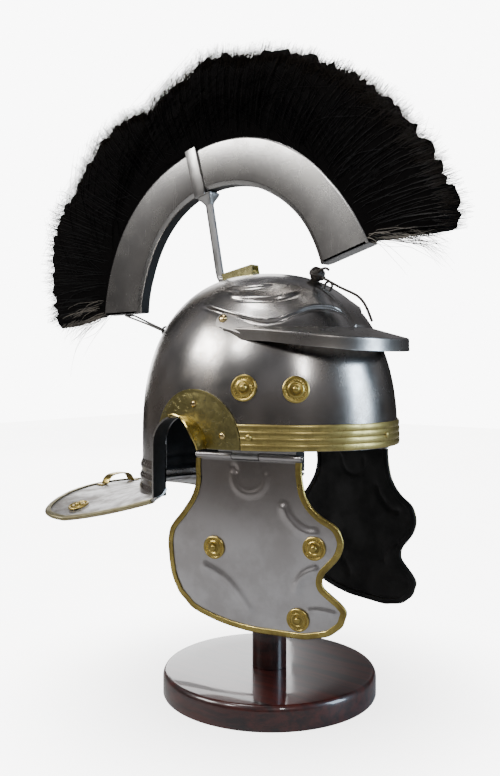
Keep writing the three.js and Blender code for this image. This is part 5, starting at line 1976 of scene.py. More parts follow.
@dataclass(frozen=True)
class BrowGuard:
    """The steel peak with its turned-down lip and its two riveted tabs."""

    z: float = 0.332
    tip_z: float = 0.3225
    front: float = 0.1305
    centre: float = 0.01
    half_width: float = 0.087
    power: float = 2.3
    thickness: float = 0.0016
    lip: float = 0.011
    rivet_at: Pair = (0.012, 0.338)
    rivet_size: Pair = (0.0038, 0.0023)
    rivet_lift: float = 0.0022
    tab_half: float = 0.006
    tab_length: float = 0.036
    bend: float = 0.002
    flare: float = 0.0004

    BEND_FROM = 0.45
    BEND_TO = 0.7

    def shelf(self) -> Piece:
        """The sloping shelf and its lip.

        Returns:
            The shelf and its lip as one sheet.
        """

        def place(u: Array, v: Array) -> Array:
            """A point on top of the shelf or on the lip's face.

            Args:
                u: Shares round the piece, from 0 to 1.
                v: Shares across it, from 0 to 1.

            Returns:
                The points, one per row.
            """
            turn = np.radians((2 * u - 1) * 80)
            ends = np.abs(2 * u - 1)
            x = self.centre + (self.front - self.centre) * np.cos(turn) ** (2 / self.power)
            y = np.sign(turn) * self.half_width * np.abs(np.sin(turn)) ** (2 / self.power)
            top = self.tip_z + (self.z - 0.0006 - self.tip_z) * ends**2.2
            seat = SHAPE.point(np.degrees(turn) * 1.04, np.full_like(u, self.z), GAP)
            outer = np.column_stack([x, y, top])
            outer[:, :2] += (seat - outer)[:, :2] * (0.8 * eased(0.84, 1, ends))[:, None]
            lip = (self.lip * (1 - 0.2 * ends**2))[:, None]
            inward = unit(seat - outer)
            down = np.array([[0, 0, -1.0]])
            before, after = outer + inward * self.bend, outer + down * self.bend
            end = outer + down * lip
            flare = unit((outer - seat) * (1, 1, 0)) * self.flare
            a = np.clip(v / self.BEND_FROM, 0, 1)[:, None]
            b = np.clip((v - self.BEND_FROM) / (self.BEND_TO - self.BEND_FROM), 0, 1)[:, None]
            c = np.clip((v - self.BEND_TO) / (1 - self.BEND_TO), 0, 1)[:, None]
            bent = (1 - b) ** 2 * before + 2 * b * (1 - b) * outer + b * b * after
            flat = seat + (before - seat) * a
            fall = after + (end - after) * c + flare * c**3
            share = v[:, None]
            falling = np.where(share < self.BEND_TO, bent, fall)
            return np.where(share < self.BEND_FROM, flat, falling)

        obj = formed_grid("shelf", 200, 40, place)
        return thickened(faced(obj, (0.03, 0, 0.31)), self.thickness)

    def tab(self) -> Piece:
        """The tab behind the end of the shelf, on the left.

        Returns:
            The left tab.
        """
        (cx, cz), half = self.rivet_at, self.tab_half

        def place(u: Array, v: Array) -> Array:
            """A point on the tab.

            Args:
                u: Shares round the piece, from 0 to 1.
                v: Shares across it, from 0 to 1.

            Returns:
                The points, one per row.
            """
            x = cx - half + self.tab_length * u**1.6
            bow = np.sqrt(np.maximum(half**2 - np.minimum(x - cx, 0) ** 2, 0))
            flat = np.interp(x, [cx, 0.042], [cz + half, self.z + 0.001])
            upper = np.where(x < cx, cz + bow, flat)
            flat = np.interp(x, [cx, 0.038, 0.042], [cz - half, 0.325, 0.3245])
            lower = np.where(x < cx, cz - bow, flat)
            z = lower + (upper - lower) * v
            y = SHAPE.side(x, z, GAP + self.thickness)
            return np.column_stack([x, y, z])

        obj = formed_grid("tab", 40, 12, place)
        return thickened(faced(obj, (0, 0, 0.33)), self.thickness)

    def build(self) -> None:
        """Makes the peak and its rivets."""
        tab = self.tab()
        parts = [self.shelf(), tab, sided(tab, "tab_right", Side.RIGHT)]
        obj = smoothed(joined("brow_guard_visual", parts))
        finishes = [PEAK_STEEL.build(), Paint("peak_under").build()]
        fitted(obj, Body.HELMET, "bowl_steel", finishes, "brow_guard")
        x, z = self.rivet_at
        at = np.array([[x, float(SHAPE.side(np.array(x), np.array(z))), z]])
        normal = SHAPE.normal(at)[0]
        lifted = set_at(at[0] + normal * self.rivet_lift, normal)
        head = rivet("brow_rivet", *self.rivet_size, lifted)
        brass = RIVET_BRASS.build()
        smoothed(head)
        for side in Side:
            piece = sided(head, f"brow_rivet_{side.word}_visual", side)
            fitted(piece, Body.HELMET, "brass", [brass], f"brow_rivet_{side.word}")
        discard(head)


class Bosses:
    """The round brass bosses: one pattern, copied to every place."""

    BEADS = 22
    BEAD = 0.062
    BEAD_RING = 0.71
    BEAD_HEIGHT = 0.095
    BOWL_RADIUS = 0.011
    NECK_RADIUS = 0.01
    # Name, turn from the front in degrees, and height.
    BOWL_PLACES = (("rear", 67.4, 0.282), ("front", 46.1, 0.281))
    NECK_PLACE = (-0.154, 0.0949)
    NECK_LIFT = 0.0009
    # Radius and height in shares of the boss's radius.
    PROFILE = (
        (0.97, 0), (1, 0.02), (0.99, 0.09), (0.95, 0.13), (0.9, 0.15), (0.86, 0.14), (0.83, 0.1),
        (0.8, 0.085), (0.62, 0.1), (0.58, 0.13), (0.53, 0.165), (0.48, 0.17), (0.44, 0.14),
        (0.41, 0.12), (0.3, 0.14), (0.28, 0.2), (0.24, 0.28), (0.17, 0.345), (0.09, 0.365),
        (0.01, 0.37),
    )

    def __init__(self) -> None:
        """Models the pattern with a radius of 1."""
        parts = [turned("boss", self.PROFILE, 48)]
        for index in range(self.BEADS):
            angle = 2 * math.pi * index / self.BEADS
            deselect()
            bpy.ops.mesh.primitive_uv_sphere_add(segments=8, ring_count=5, radius=self.BEAD)
            bead = named("bead")
            x, y = self.BEAD_RING * math.cos(angle), self.BEAD_RING * math.sin(angle)
            at = Matrix.Translation((x, y, self.BEAD_HEIGHT))
            bead.data.transform(at)
            parts.append(bead)
        self.pattern = smoothed(joined("boss", parts))
        self.finish = BOSS_BRASS.build()

    def put(self, name: str, body: Body, radius: float, place: Array, normal: Array) -> None:
        """Copies the boss to a place.

        Args:
            name: The node that it stands for.
            body: The body that it rides on.
            radius: The boss's radius.
            place: Where its foot lies.
            normal: The way that it faces.
        """
        matrix = set_at(place, normal) @ Matrix.Scale(radius, 4)
        obj = copied(self.pattern, f"{name}_visual", matrix)
        fitted(obj, body, "brass", [self.finish], name)

    def build(self) -> None:
        """Puts the bosses of the bowl and the neck guard in place."""
        for word, turn, z in self.BOWL_PLACES:
            for side in Side:
                at = SHAPE.point(np.array([turn]), np.array([z]))
                normal = SHAPE.normal(at)[0] * (1, side.value, 1)
                spot = at[0] * (1, side.value, 1) + normal * GAP
                name = f"bowl_boss_{word}_{side.word}"
                self.put(name, Body.HELMET, self.BOWL_RADIUS, spot, normal)
        x, y = self.NECK_PLACE
        step = 0.003
        for side in Side:
            slope_x = (neck_height(x + step, y) - neck_height(x - step, y)) / (2 * step)
            slope_y = (neck_height(x, y + step) - neck_height(x, y - step)) / (2 * step)
            normal = np.array([-slope_x, -slope_y * side.value, 1.0])
            normal /= np.linalg.norm(normal)
            place = np.array([x, y * side.value, float(neck_height(x, y))])
            place += normal * self.NECK_LIFT
            self.put(f"neck_boss_{side.word}", Body.HELMET, self.NECK_RADIUS, place, normal)


# The cheek guards


@dataclass(frozen=True)
class Ridge:
    """An embossed line in millimetres; a point is its place along the hinge and below it."""

    rise: float
    width: float
    line: tuple[Pair, ...]


@dataclass(frozen=True)
class CheekGuard:
    """A hinged cheek guard, modelled on the left and mirrored for the right."""

    drop: float = 0.145
    top: float = 0.0032
    thickness: float = 0.0015
    bulge: float = 0.003
    toe: float = 0.004
    knuckle: float = 0.0027
    pin: float = 0.0013
    fold: float = 0.0036
    barrel_edge: float = 0.0003

    # Share of the drop, and the rear and front edge there in shares of the hinge.
    EDGES = (
        (0, 0.007, 0.988), (0.06, 0.007, 0.989), (0.13, 0.012, 1.005), (0.19, -0.006, 1.031),
        (0.25, -0.046, 1.09), (0.3, -0.098, 1.176), (0.345, -0.149, 1.294), (0.39, -0.21, 1.34),
        (0.435, -0.257, 1.358), (0.48, -0.275, 1.346), (0.525, -0.283, 1.312), (0.57, -0.279, 1.253),
        (0.615, -0.274, 1.193), (0.66, -0.266, 1.171), (0.7, -0.256, 1.187), (0.74, -0.237, 1.257),
        (0.78, -0.21, 1.334), (0.82, -0.178, 1.381), (0.86, -0.117, 1.368), (0.9, -0.054, 1.344),
        (0.935, 0.07, 1.286), (0.965, 0.217, 1.217), (0.987, 0.39, 1.09), (1, 0.6, 0.97),
    )
    RIDGES = (
        Ridge(0.8, 2.8, (
            (33.8, 15.5), (35.2, 22), (39, 27.2), (44, 30), (49.2, 31), (54.6, 30), (59.6, 27.2),
            (63.4, 22), (64.8, 15.5),
        )),
        Ridge(1.7, 3.4, (
            (80.3, 40.2), (82.6, 45.6), (86.4, 50.3), (90.9, 54.6), (95.9, 57.5), (101, 59),
            (106.1, 59.1),
        )),
        Ridge(1.7, 3.4, ((106.2, 88.7), (101, 91), (95.9, 94.6), (92.2, 100), (89.9, 106.6))),
        Ridge(1.1, 2.6, ((101.1, 122.2), (106, 121.2), (111.3, 121), (121.4, 122.1))),
        Ridge(1.5, 4.2, ((9.2, 95.3), (18, 98.6), (28, 104.3), (38, 114), (47.3, 126.4))),
        Ridge(-0.9, 2.2, ((35, 9), (37, 12))),
    )
    # Where each barrel starts and ends, in shares of the hinge.
    BARRELS = ((0, 0.347), (0.613, 1))
    BOSS_RADIUS = 0.0097
    # Name, share of the hinge and share of the drop.
    BOSS_PLACES = (("rear", 0.185, 0.522), ("front", 1.122, 0.474), ("low", 0.963, 0.897))

    def surface(self, s: Array, drop: Array, out: Array | float = 0) -> Array:
        """Points of the plate by their place along the hinge and share of the drop.

        Args:
            s: Places along the hinge.
            drop: Shares of the drop below it.
            out: How far off the middle of the sheet.

        Returns:
            The points, in the last axis.
        """
        along = s / HINGE.length
        across = 1 - np.clip((along - 0.5) / 0.9, -1, 1) ** 2
        deep = np.sin(np.pi * np.clip(drop, 0, 1)) ** 1.2
        y = self.bulge * across * deep - self.toe * drop * drop + out
        z = -self.top - drop * (self.drop - self.top)
        return HINGE.world(np.stack(np.broadcast_arrays(s, y, z), axis=-1))

    def edges(self, drop: Array) -> tuple[Array, Array]:
        """Where the plate starts and ends at shares of the drop.

        Args:
            drop: Shares of the drop.

        Returns:
            The places along the hinge of the rear and the front edge.
        """
        table = np.array(self.EDGES)
        dense = through(table, 400)
        order = np.maximum.accumulate(dense[:, 0])
        rear = np.interp(drop, order, dense[:, 1]) * HINGE.length
        return rear, np.interp(drop, order, dense[:, 2]) * HINGE.length

    def relief(self, s: Array, drop: Array) -> Array:
        """The height of the embossed lines.

        Args:
            s: Places along the hinge.
            drop: Shares of the drop below it.

        Returns:
            One height for each point.
        """
        spots = np.column_stack([s * 1000, (self.top + drop * (self.drop - self.top)) * 1000])
        total = np.zeros(len(spots))
        for ridge in self.RIDGES:
            near = distance_to(spots, through(np.array(ridge.line), 24))
            total += ridge.rise * np.exp(-((near / ridge.width) ** 2))
        return total / 1000

    def plate(self) -> Piece:
        """The embossed plate with its hinge barrels.

        Returns:
            The plate of the left side.
        """

        def place(u: Array, v: Array) -> Array:
            """A point of the plate's outside.

            Args:
                u: Shares round the piece, from 0 to 1.
                v: Shares across it, from 0 to 1.

            Returns:
                The points, one per row.
            """
            rear, front = self.edges(v)
            s = rear + (front - rear) * u
            return self.surface(s, v, self.thickness / 2 + self.relief(s, v))

        obj = formed_grid("plate", 130, 120, place)
        parts = [thickened(faced(obj, (0.03, 0, 0.15)), self.thickness, inner=1)]
        for start, end in self.BARRELS:
            parts.append(self.barrel(start, end, self.knuckle, self.pin + GAP))
            low, high = max(start, 0.007) * HINGE.length, min(end, 0.988) * HINGE.length
            size = (high - low, self.thickness, 0.0024)
            middle = HINGE.matrix() @ Matrix.Translation(((low + high) / 2, 0, -0.0028))
            parts.append(block("strip", size, middle, 0.0002))
        return smoothed(joined("cheek_plate", parts))

    def barrel(self, start: float, end: float, outer: float, inner: float) -> Piece:
        """A tube on the hinge line between two shares of its length.

        Args:
            start: The share at its start.
            end: The share at its end.
            outer: Its outer radius.
            inner: Its inner radius.

        Returns:
            The tube.
        """
        low, high, edge = start * HINGE.length, end * HINGE.length, self.barrel_edge
        profile = [(outer - edge, low), (outer, low + edge), (outer, high - edge)]
        profile += [(outer - edge, high), (inner, high), (inner, low)]
        turns = np.linspace(0, 2 * np.pi, 28, endpoint=False)
        rings = [[(s, r * math.cos(a), r * math.sin(a)) for r, s in profile] for a in turns]
        return lofted("barrel", HINGE.world(np.array(rings)), cyclic=True)

    def edging(self) -> Piece:
        """The folded brass binding round the plate.

        Returns:
            The binding of the left side.
        """
        table = np.array(self.EDGES)
        span = self.drop - self.top
        rear = np.column_stack([table[:, 1] * HINGE.length, table[:, 0] * span])
        front = np.column_stack([table[:, 2] * HINGE.length, table[:, 0] * span])
        line = through(np.vstack([rear, front[::-1]]), 360)
        tangent = unit(np.gradient(line, axis=0))
        inward = np.column_stack([-tangent[:, 1], tangent[:, 0]])
        inward *= np.sign(np.sum(inward[0] * (np.array([0.05, 0.01]) - line[0])))
        drops = np.clip(line[:, 1] / span, 0, 1)
        at = self.surface(line[:, 0], drops)
        ds = self.surface(line[:, 0] + 0.001, drops) - at
        dd = self.surface(line[:, 0], drops + 0.001 / span) - at
        into = unit(inward[:, :1] * ds + inward[:, 1:] * dd)
        normal = unit(np.cross(ds, dd))
        normal *= np.sign(normal[:, 1:2])
        rings = bound_rings(at, into, normal, self.thickness / 2 + GAP, self.fold)
        return smoothed(lofted("cheek_edging", rings))

    def build(self, bosses: Bosses) -> None:
        """Makes and dresses both cheek guards.

        Args:
            bosses: The maker of the bosses.
        """
        plate, edging = self.plate(), self.edging()
        slot_faces(edging, lambda at, normal: normal.y < -0.2, 1)
        steel, paint, brass = CHEEK_STEEL.build(), Paint("cheek_paint").build(), EDGE_BRASS.build()
        for side in Side:
            word = side.word
            piece = sided(plate, f"cheek_plate_{word}_visual", side)
            fitted(piece, side.cheek, "satin_steel", [steel, paint], f"cheek_plate_{word}")
            piece = sided(edging, f"cheek_edging_{word}_visual", side)
            fitted(piece, side.cheek, "brass", [brass, paint], f"cheek_edging_{word}")
            flip = np.array([1, side.value, 1])
            for spot, share, drop in self.BOSS_PLACES:
                s, v = np.array([share * HINGE.length]), np.array([drop])
                at = self.surface(s, v, self.thickness / 2)[0]
                ds = self.surface(s + 0.002, v, self.thickness / 2)[0] - at
                dd = self.surface(s, v - 0.01, self.thickness / 2)[0] - at
                normal = unit(np.cross(dd, ds))
                normal = normal * np.sign(normal[1])
                place = (at + normal * 2 * GAP) * flip
                name = f"cheek_boss_{spot}_{word}"
                bosses.put(name, side.cheek, self.BOSS_RADIUS, place, normal * flip)
        discard(plate, edging)


# The crest


@dataclass(frozen=True)
class CrestBox:
    """The arched steel channel that holds the hair."""

    width: float = 0.016
    wall: float = 0.002
    bevel: float = 0.004
    steps: int = 110

    def ring(self, turn: float, whole: bool) -> Array:
        """One section of the box, with its channel or closed.

        Args:
            turn: The turn along the arc.
            whole: Whether the section is closed.

        Returns:
            The points, one per row.
        """
        inner, outer = (float(r) for r in CREST.radii(turn))
        half, bevel, wall = self.width / 2, self.bevel, self.wall
        side = [
            (outer, half - wall), (outer, half - 0.0007), (outer - 0.0008, half - 0.0002),
            (outer - 0.0022, half), (inner + bevel + 0.0006, half),
            (inner + bevel - 0.0004, half - 0.0002),
            (inner + 0.0005, half - bevel / 2 + 0.0003), (inner, half - bevel / 2 - 0.0005),
        ]
        outline = side + [(r, -y) for r, y in side[::-1]]
        if whole:
            outline += [(inner + wall, -half + wall), (inner + wall, half - wall)]
        spots = np.array(outline)
        return CREST.point(turn, spots[:, 0], spots[:, 1])

    def build(self) -> None:
        """Makes the channel and its two closed ends."""
        turns = np.linspace(CREST.first, CREST.last, self.steps)
        parts = [lofted("box", np.array([self.ring(t, True) for t in turns]))]
        for end, way in ((CREST.first, -1), (CREST.last, 1)):
            rings = [self.ring(end + way * k, False) for k in (0, 0.8)]
            parts.append(lofted("end", np.array(rings)))
        obj = smoothed(joined("crest_box_visual", parts), 30)
        centre = Vector((CREST.x, 0, CREST.z))

        def under(at: Vector, normal: Vector) -> bool:
            """Whether a face looks at the middle of the arch."""
            return normal.dot((centre - at).normalized()) > 0.93

        # The faces that look at the middle of the arch, under the channel, are coloured black.
        slot_faces(obj, under, 1)
        finishes = [BOX_STEEL.build(), Paint("box_paint").build()]
        fitted(obj, Body.HELMET, "satin_steel", finishes, "crest_box")


@dataclass(frozen=True)
class CrestHair:
    """The horsehair: a dense mass with thousands of loose strands over it."""

    length: float = 0.084
    width: float = 0.034
    strands: int = 4300
    wisps: int = 70
    clumps: int = 150
    thick: float = 0.00034
    seed: int = 11
    columns: int = 150
    rows: int = 50
    groove: float = 0.0006
    grooves: float = 420

    # Turn of the tips, and their reach in shares of the hair's length.
    OUTLINE = (
        (10, 0.91), (18, 1.03), (30, 1.02), (46, 1.01), (60, 0.97), (74, 0.98), (84, 0.96), (97, 1.07),
        (103, 0.96), (113, 0.93), (115, 0.82), (122, 1.02), (128, 1.13), (135, 1.19), (142, 1.2),
        (147, 1.2), (157, 1.35), (162, 1.33), (170, 1.23), (178, 1.11), (186, 0.97),
    )

    def reach(self, turn: Array) -> Array:
        """The hair's length past the box by the turn of its tips."""
        table = np.array(self.OUTLINE)
        return self.length * np.interp(turn, table[:, 0], table[:, 1])

    @staticmethod
    def swell(along: Array) -> Array:
        """How far the hair has spread sideways at a share of its length."""
        return np.clip(along * 1.9, 0, 1) ** 0.8 * (1 - 0.28 * eased(0.75, 1.0, along))

    def lean(self, share: Array) -> Array:
        """The turn of the tips by the share along the arch."""
        return (CREST.first + 2.5) + share * (CREST.last - 6.5 - CREST.first)

    def root(self, share: Array) -> Array:
        """The turn of the roots by the share along the arch."""
        return (CREST.first - 1.05) + share * (CREST.last - CREST.first + 2.1)

    def mass(self) -> Piece:
        """The dense core with a ragged edge.

        Returns:
            The core.
        """
        count = self.columns
        rng = np.random.default_rng(self.seed)
        ragged = rng.uniform(0.9, 0.985, count + 1)

        def place(u: Array, v: Array) -> Array:
            """A point of the core; v runs over one side, the edge and the other side.

            Args:
                u: Shares along the arc, from 0 to 1.
                v: Shares over the section, from 0 to 1.

            Returns:
                The points, one per row.
            """
            column = np.rint(u * count).astype(int)
            along = np.clip(1 - np.abs(2 * v - 1), 0, 1)
            side = np.where(v < 0.5, -1.0, 1.0) * eased(0, 0.1, np.abs(v - 0.5) * 2)
            start = CREST.radii(self.root(u))[1] - 0.003
            turn = self.root(u) + (self.lean(u) - self.root(u)) * along
            length = self.reach(turn) * ragged[column] + 0.003
            half = 0.0056 + (self.width / 2 - 0.0075) * self.swell(along)
            half = half * (1 - 0.6 * eased(0.8, 1, along))
            groove = self.groove * np.sin(u * self.grooves) * eased(0.05, 0.4, along)
            return CREST.point(turn, start + length * along, side * (half + groove))

        obj = formed_grid("mass", count, self.rows, place)
        with editing(obj):
            bpy.ops.mesh.fill_holes(sides=0)
            bpy.ops.mesh.select_all(action="SELECT")
            bpy.ops.mesh.normals_make_consistent(inside=False)
        return smoothed(obj, 60)

    def strand(self) -> Piece:
        """One three-sided strand of five lengths along Z, from 0 to 1."""
        return turned("strand", [(1, 0), (1, 0.25), (1, 0.5), (1, 0.7), (1, 0.87), (1, 1)], 3)

    def loose(self, name: str, lateral: Pair, seed: int) -> Piece:
        """One share of the strands as a piece.

        Args:
            name: The piece's name.
            lateral: Range of the strands' places across, from -1 to 1.
            seed: Seed of the random draws.

        Returns:
            The new object, with its tip and wisp attributes.
        """
        rng = np.random.default_rng(seed)
        obj = self.strand()
        single = points_of(obj).copy()
        count = self.strands + self.wisps
        modified(obj, "ARRAY", count=count, use_relative_offset=False, use_constant_offset=True)
        per = len(single)
        which = np.repeat(np.arange(count), per)
        local = np.tile(single, (count, 1))
        is_wisp = np.arange(count) >= self.strands
        clumps = self.clumps
        clump = rng.integers(0, clumps, count)
        middle = (clump + 0.5) / clumps
        share = np.clip(middle + rng.normal(0, 0.75 / clumps, count), 0, 1)
        share = np.where(rng.random(count) < 0.3, rng.random(count), share)
        at_first = rng.random(count) < 0.6
        ends = np.where(at_first, rng.uniform(0, 0.03, count), rng.uniform(0.985, 1, count))
        share = np.where(is_wisp, ends, share)
        pull = rng.uniform(0.35, 0.9, clumps)[clump]
        tip_share = share + (middle - share) * pull + rng.normal(0, 0.0025, count)
        tip_share = np.where(is_wisp, share + rng.normal(0, 0.01, count), tip_share)
        grown = rng.uniform(0.93, 1.045, clumps)[clump] * rng.uniform(0.88, 1.025, count)
        grown = np.where(rng.random(count) < 0.12, grown * rng.uniform(0.55, 0.9, count), grown)
        low, high = lateral
        lat = low + (high - low) * rng.random(count)
        lat = np.sign(lat) * np.abs(lat) ** 0.6
        wander = rng.normal(0, 1, (count, 4))
        along = local[:, 2]
        root = self.root(share)[which]
        lean = self.lean(np.clip(tip_share, -0.01, 1.01))[which]
        bend = along**1.25
        turn = root + (lean - root) * bend
        swing = 1 + 2.2 * is_wisp[which]
        turn += wander[which, 0] * 0.45 * np.sin(np.pi * along) * swing
        turn += wander[which, 1] * 0.22 * np.sin(2 * np.pi * along)
        fall = np.where(share[which] < 0.5, 5.5, -5.0) * along**2
        turn += np.where(is_wisp[which], fall * np.abs(wander[which, 3]) * 0.7, 0)
        start = CREST.radii(root)[1] - 0.002
        total = (self.reach(turn) * grown[which] + 0.002) * np.where(is_wisp[which], 0.8, 1.0)
        half = 0.0052 + (self.width / 2 - 0.0062) * self.swell(along)
        y = lat[which] * half + wander[which, 2] * 0.0006 * along
        centre = CREST.point(turn, start + total * along, y)
        thick = self.thick * (1 - 0.75 * along**3) * rng.uniform(0.7, 1.2, count)[which]
        outward = unit(centre - np.array([CREST.x, 0, CREST.z]))
        sideways = np.tile([0.0, 1.0, 0.0], (len(centre), 1))
        cross = unit(np.cross(outward, sideways))
        around = sideways * local[:, :1] + cross * local[:, 1:2]
        set_points(obj, centre + around * thick[:, None])
        grey = is_wisp[which] * rng.uniform(0.5, 1, count)[which]
        for label, values in (("tip", along), ("wisp", grey)):
            attribute = obj.data.attributes.new(label, "FLOAT", "POINT")
            attribute.data.foreach_set("value", np.ascontiguousarray(values, dtype=np.float32))
        obj.name = obj.data.name = name
        return smoothed(obj, 80)

    def build(self) -> None:
        """Makes the mass and the strands of both sides."""
        hair = Horsehair().build()
        mass = self.mass()
        mass.name = mass.data.name = "crest_hair_mass"
        fitted(mass, Body.HELMET, "horsehair", [HairMass().build()], "crest_hair")
        shares = (("right", (-1.0, -0.25)), ("left", (0.25, 1.0)), ("middle", (-0.6, 0.6)))
        for index, (word, lateral) in enumerate(shares):
            obj = self.loose(f"crest_strands_{word}", lateral, self.seed + index)
            fitted(obj, Body.HELMET, "horsehair", [hair])


@dataclass(frozen=True)
class CrestSupport:
    """The strap round the crest box, its collar and the rod down into the key box."""

    turn: float = 105
    strap_width: float = 0.013
    strap_depth: float = 0.0022
    rod: float = 0.0041
    key_x: float = -0.034
    key_size: Point = (0.036, 0.011, 0.009)
    key_wall: float = 0.0013
    key_tilt: float = -11
    box_half: float = 0.008

    # Step down the rod, size in shares of the rod, and how round the section is.
    COLLAR = (
        (0, 2.1, 0.3), (0.0012, 2.12, 0.35), (0.003, 1.95, 0.4), (0.005, 1.6, 0.6),
        (0.0075, 1.2, 0.85), (0.0095, 1.02, 1),
    )

    def key_frame(self) -> Matrix:
        """The frame of the key box: X along it to the front, Z up from it.

        Returns:
            The frame in the world.
        """
        crown = float(SHAPE.crown(np.array(self.key_x), np.array(0.0)))
        lift = crown + self.key_size[2] / 2 - GAP / 2
        turn = Matrix.Rotation(math.radians(self.key_tilt), 4, "Y")
        return Matrix.Translation((self.key_x, 0, lift)) @ turn

    def build(self) -> None:
        """Makes the support."""
        half = self.box_half + GAP
        inner, outer = (float(r) for r in CREST.radii(self.turn))
        angle = math.radians(self.turn)
        radial = np.array([math.cos(angle), 0, math.sin(angle)])
        along = np.array([radial[2], 0, -radial[0]])
        low, high = inner - 3 * GAP - self.strap_depth, outer + 0.003
        wide = half + self.strap_depth
        section = [(high, wide), (low, wide), (low, -wide), (high, -wide), (high, -half)]
        section += [(low + self.strap_depth, -half), (low + self.strap_depth, half), (high, half)]
        rings = []
        for side in (-0.5, 0.5):
            shift = along * side * self.strap_width
            points = [CREST.point(self.turn, r, y) + shift for r, y in section]
            rings.append(points)
        strap = softened(lofted("strap", np.array(rings)), 0.0004)
        root = CREST.point(self.turn - 1.3, low + 0.001, 0.0)
        frame = self.key_frame()
        foot = np.array(frame @ Vector((-self.key_size[0] / 2 - self.rod - 0.0025, 0, 0)))
        tongue_end = np.array(frame @ Vector((self.key_size[0] / 2 - 0.006, 0, 0)))
        down = (foot - root) / np.linalg.norm(foot - root)
        forward = (tongue_end - foot) / np.linalg.norm(tongue_end - foot)
        rings = []
        across = np.array([0, 1.0, 0])
        for step, size, power in self.COLLAR:
            turns = np.radians(np.arange(0, 360, 11.25))
            a = np.sign(np.cos(turns)) * np.abs(np.cos(turns)) ** power * self.rod * size
            b = np.sign(np.sin(turns)) * np.abs(np.sin(turns)) ** power * self.rod * size
            rings.append(root + down * step + np.outer(a, along) + np.outer(b, across))
        collar = lofted("collar", np.array(rings))
        bend = [
            root + down * 0.005, foot - down * 0.02, foot - down * 0.007,
            foot - down * 0.001 + forward * 0.001, foot + forward * 0.006, foot + forward * 0.012,
        ]
        rod = wire("rod", bend, self.rod)
        play = 2 * self.key_wall + 2 * GAP
        size = (self.key_size[0] + 0.001, self.key_size[1] - play, self.key_size[2] - play)
        tongue = block("tongue", size, frame @ Matrix.Translation((-0.006, 0, 0)))
        obj = smoothed(joined("crest_support_visual", [strap, collar, rod, tongue]))
        fitted(obj, Body.HELMET, "satin_steel", [SATIN.build()], "crest_support")


# Fastenings and cord


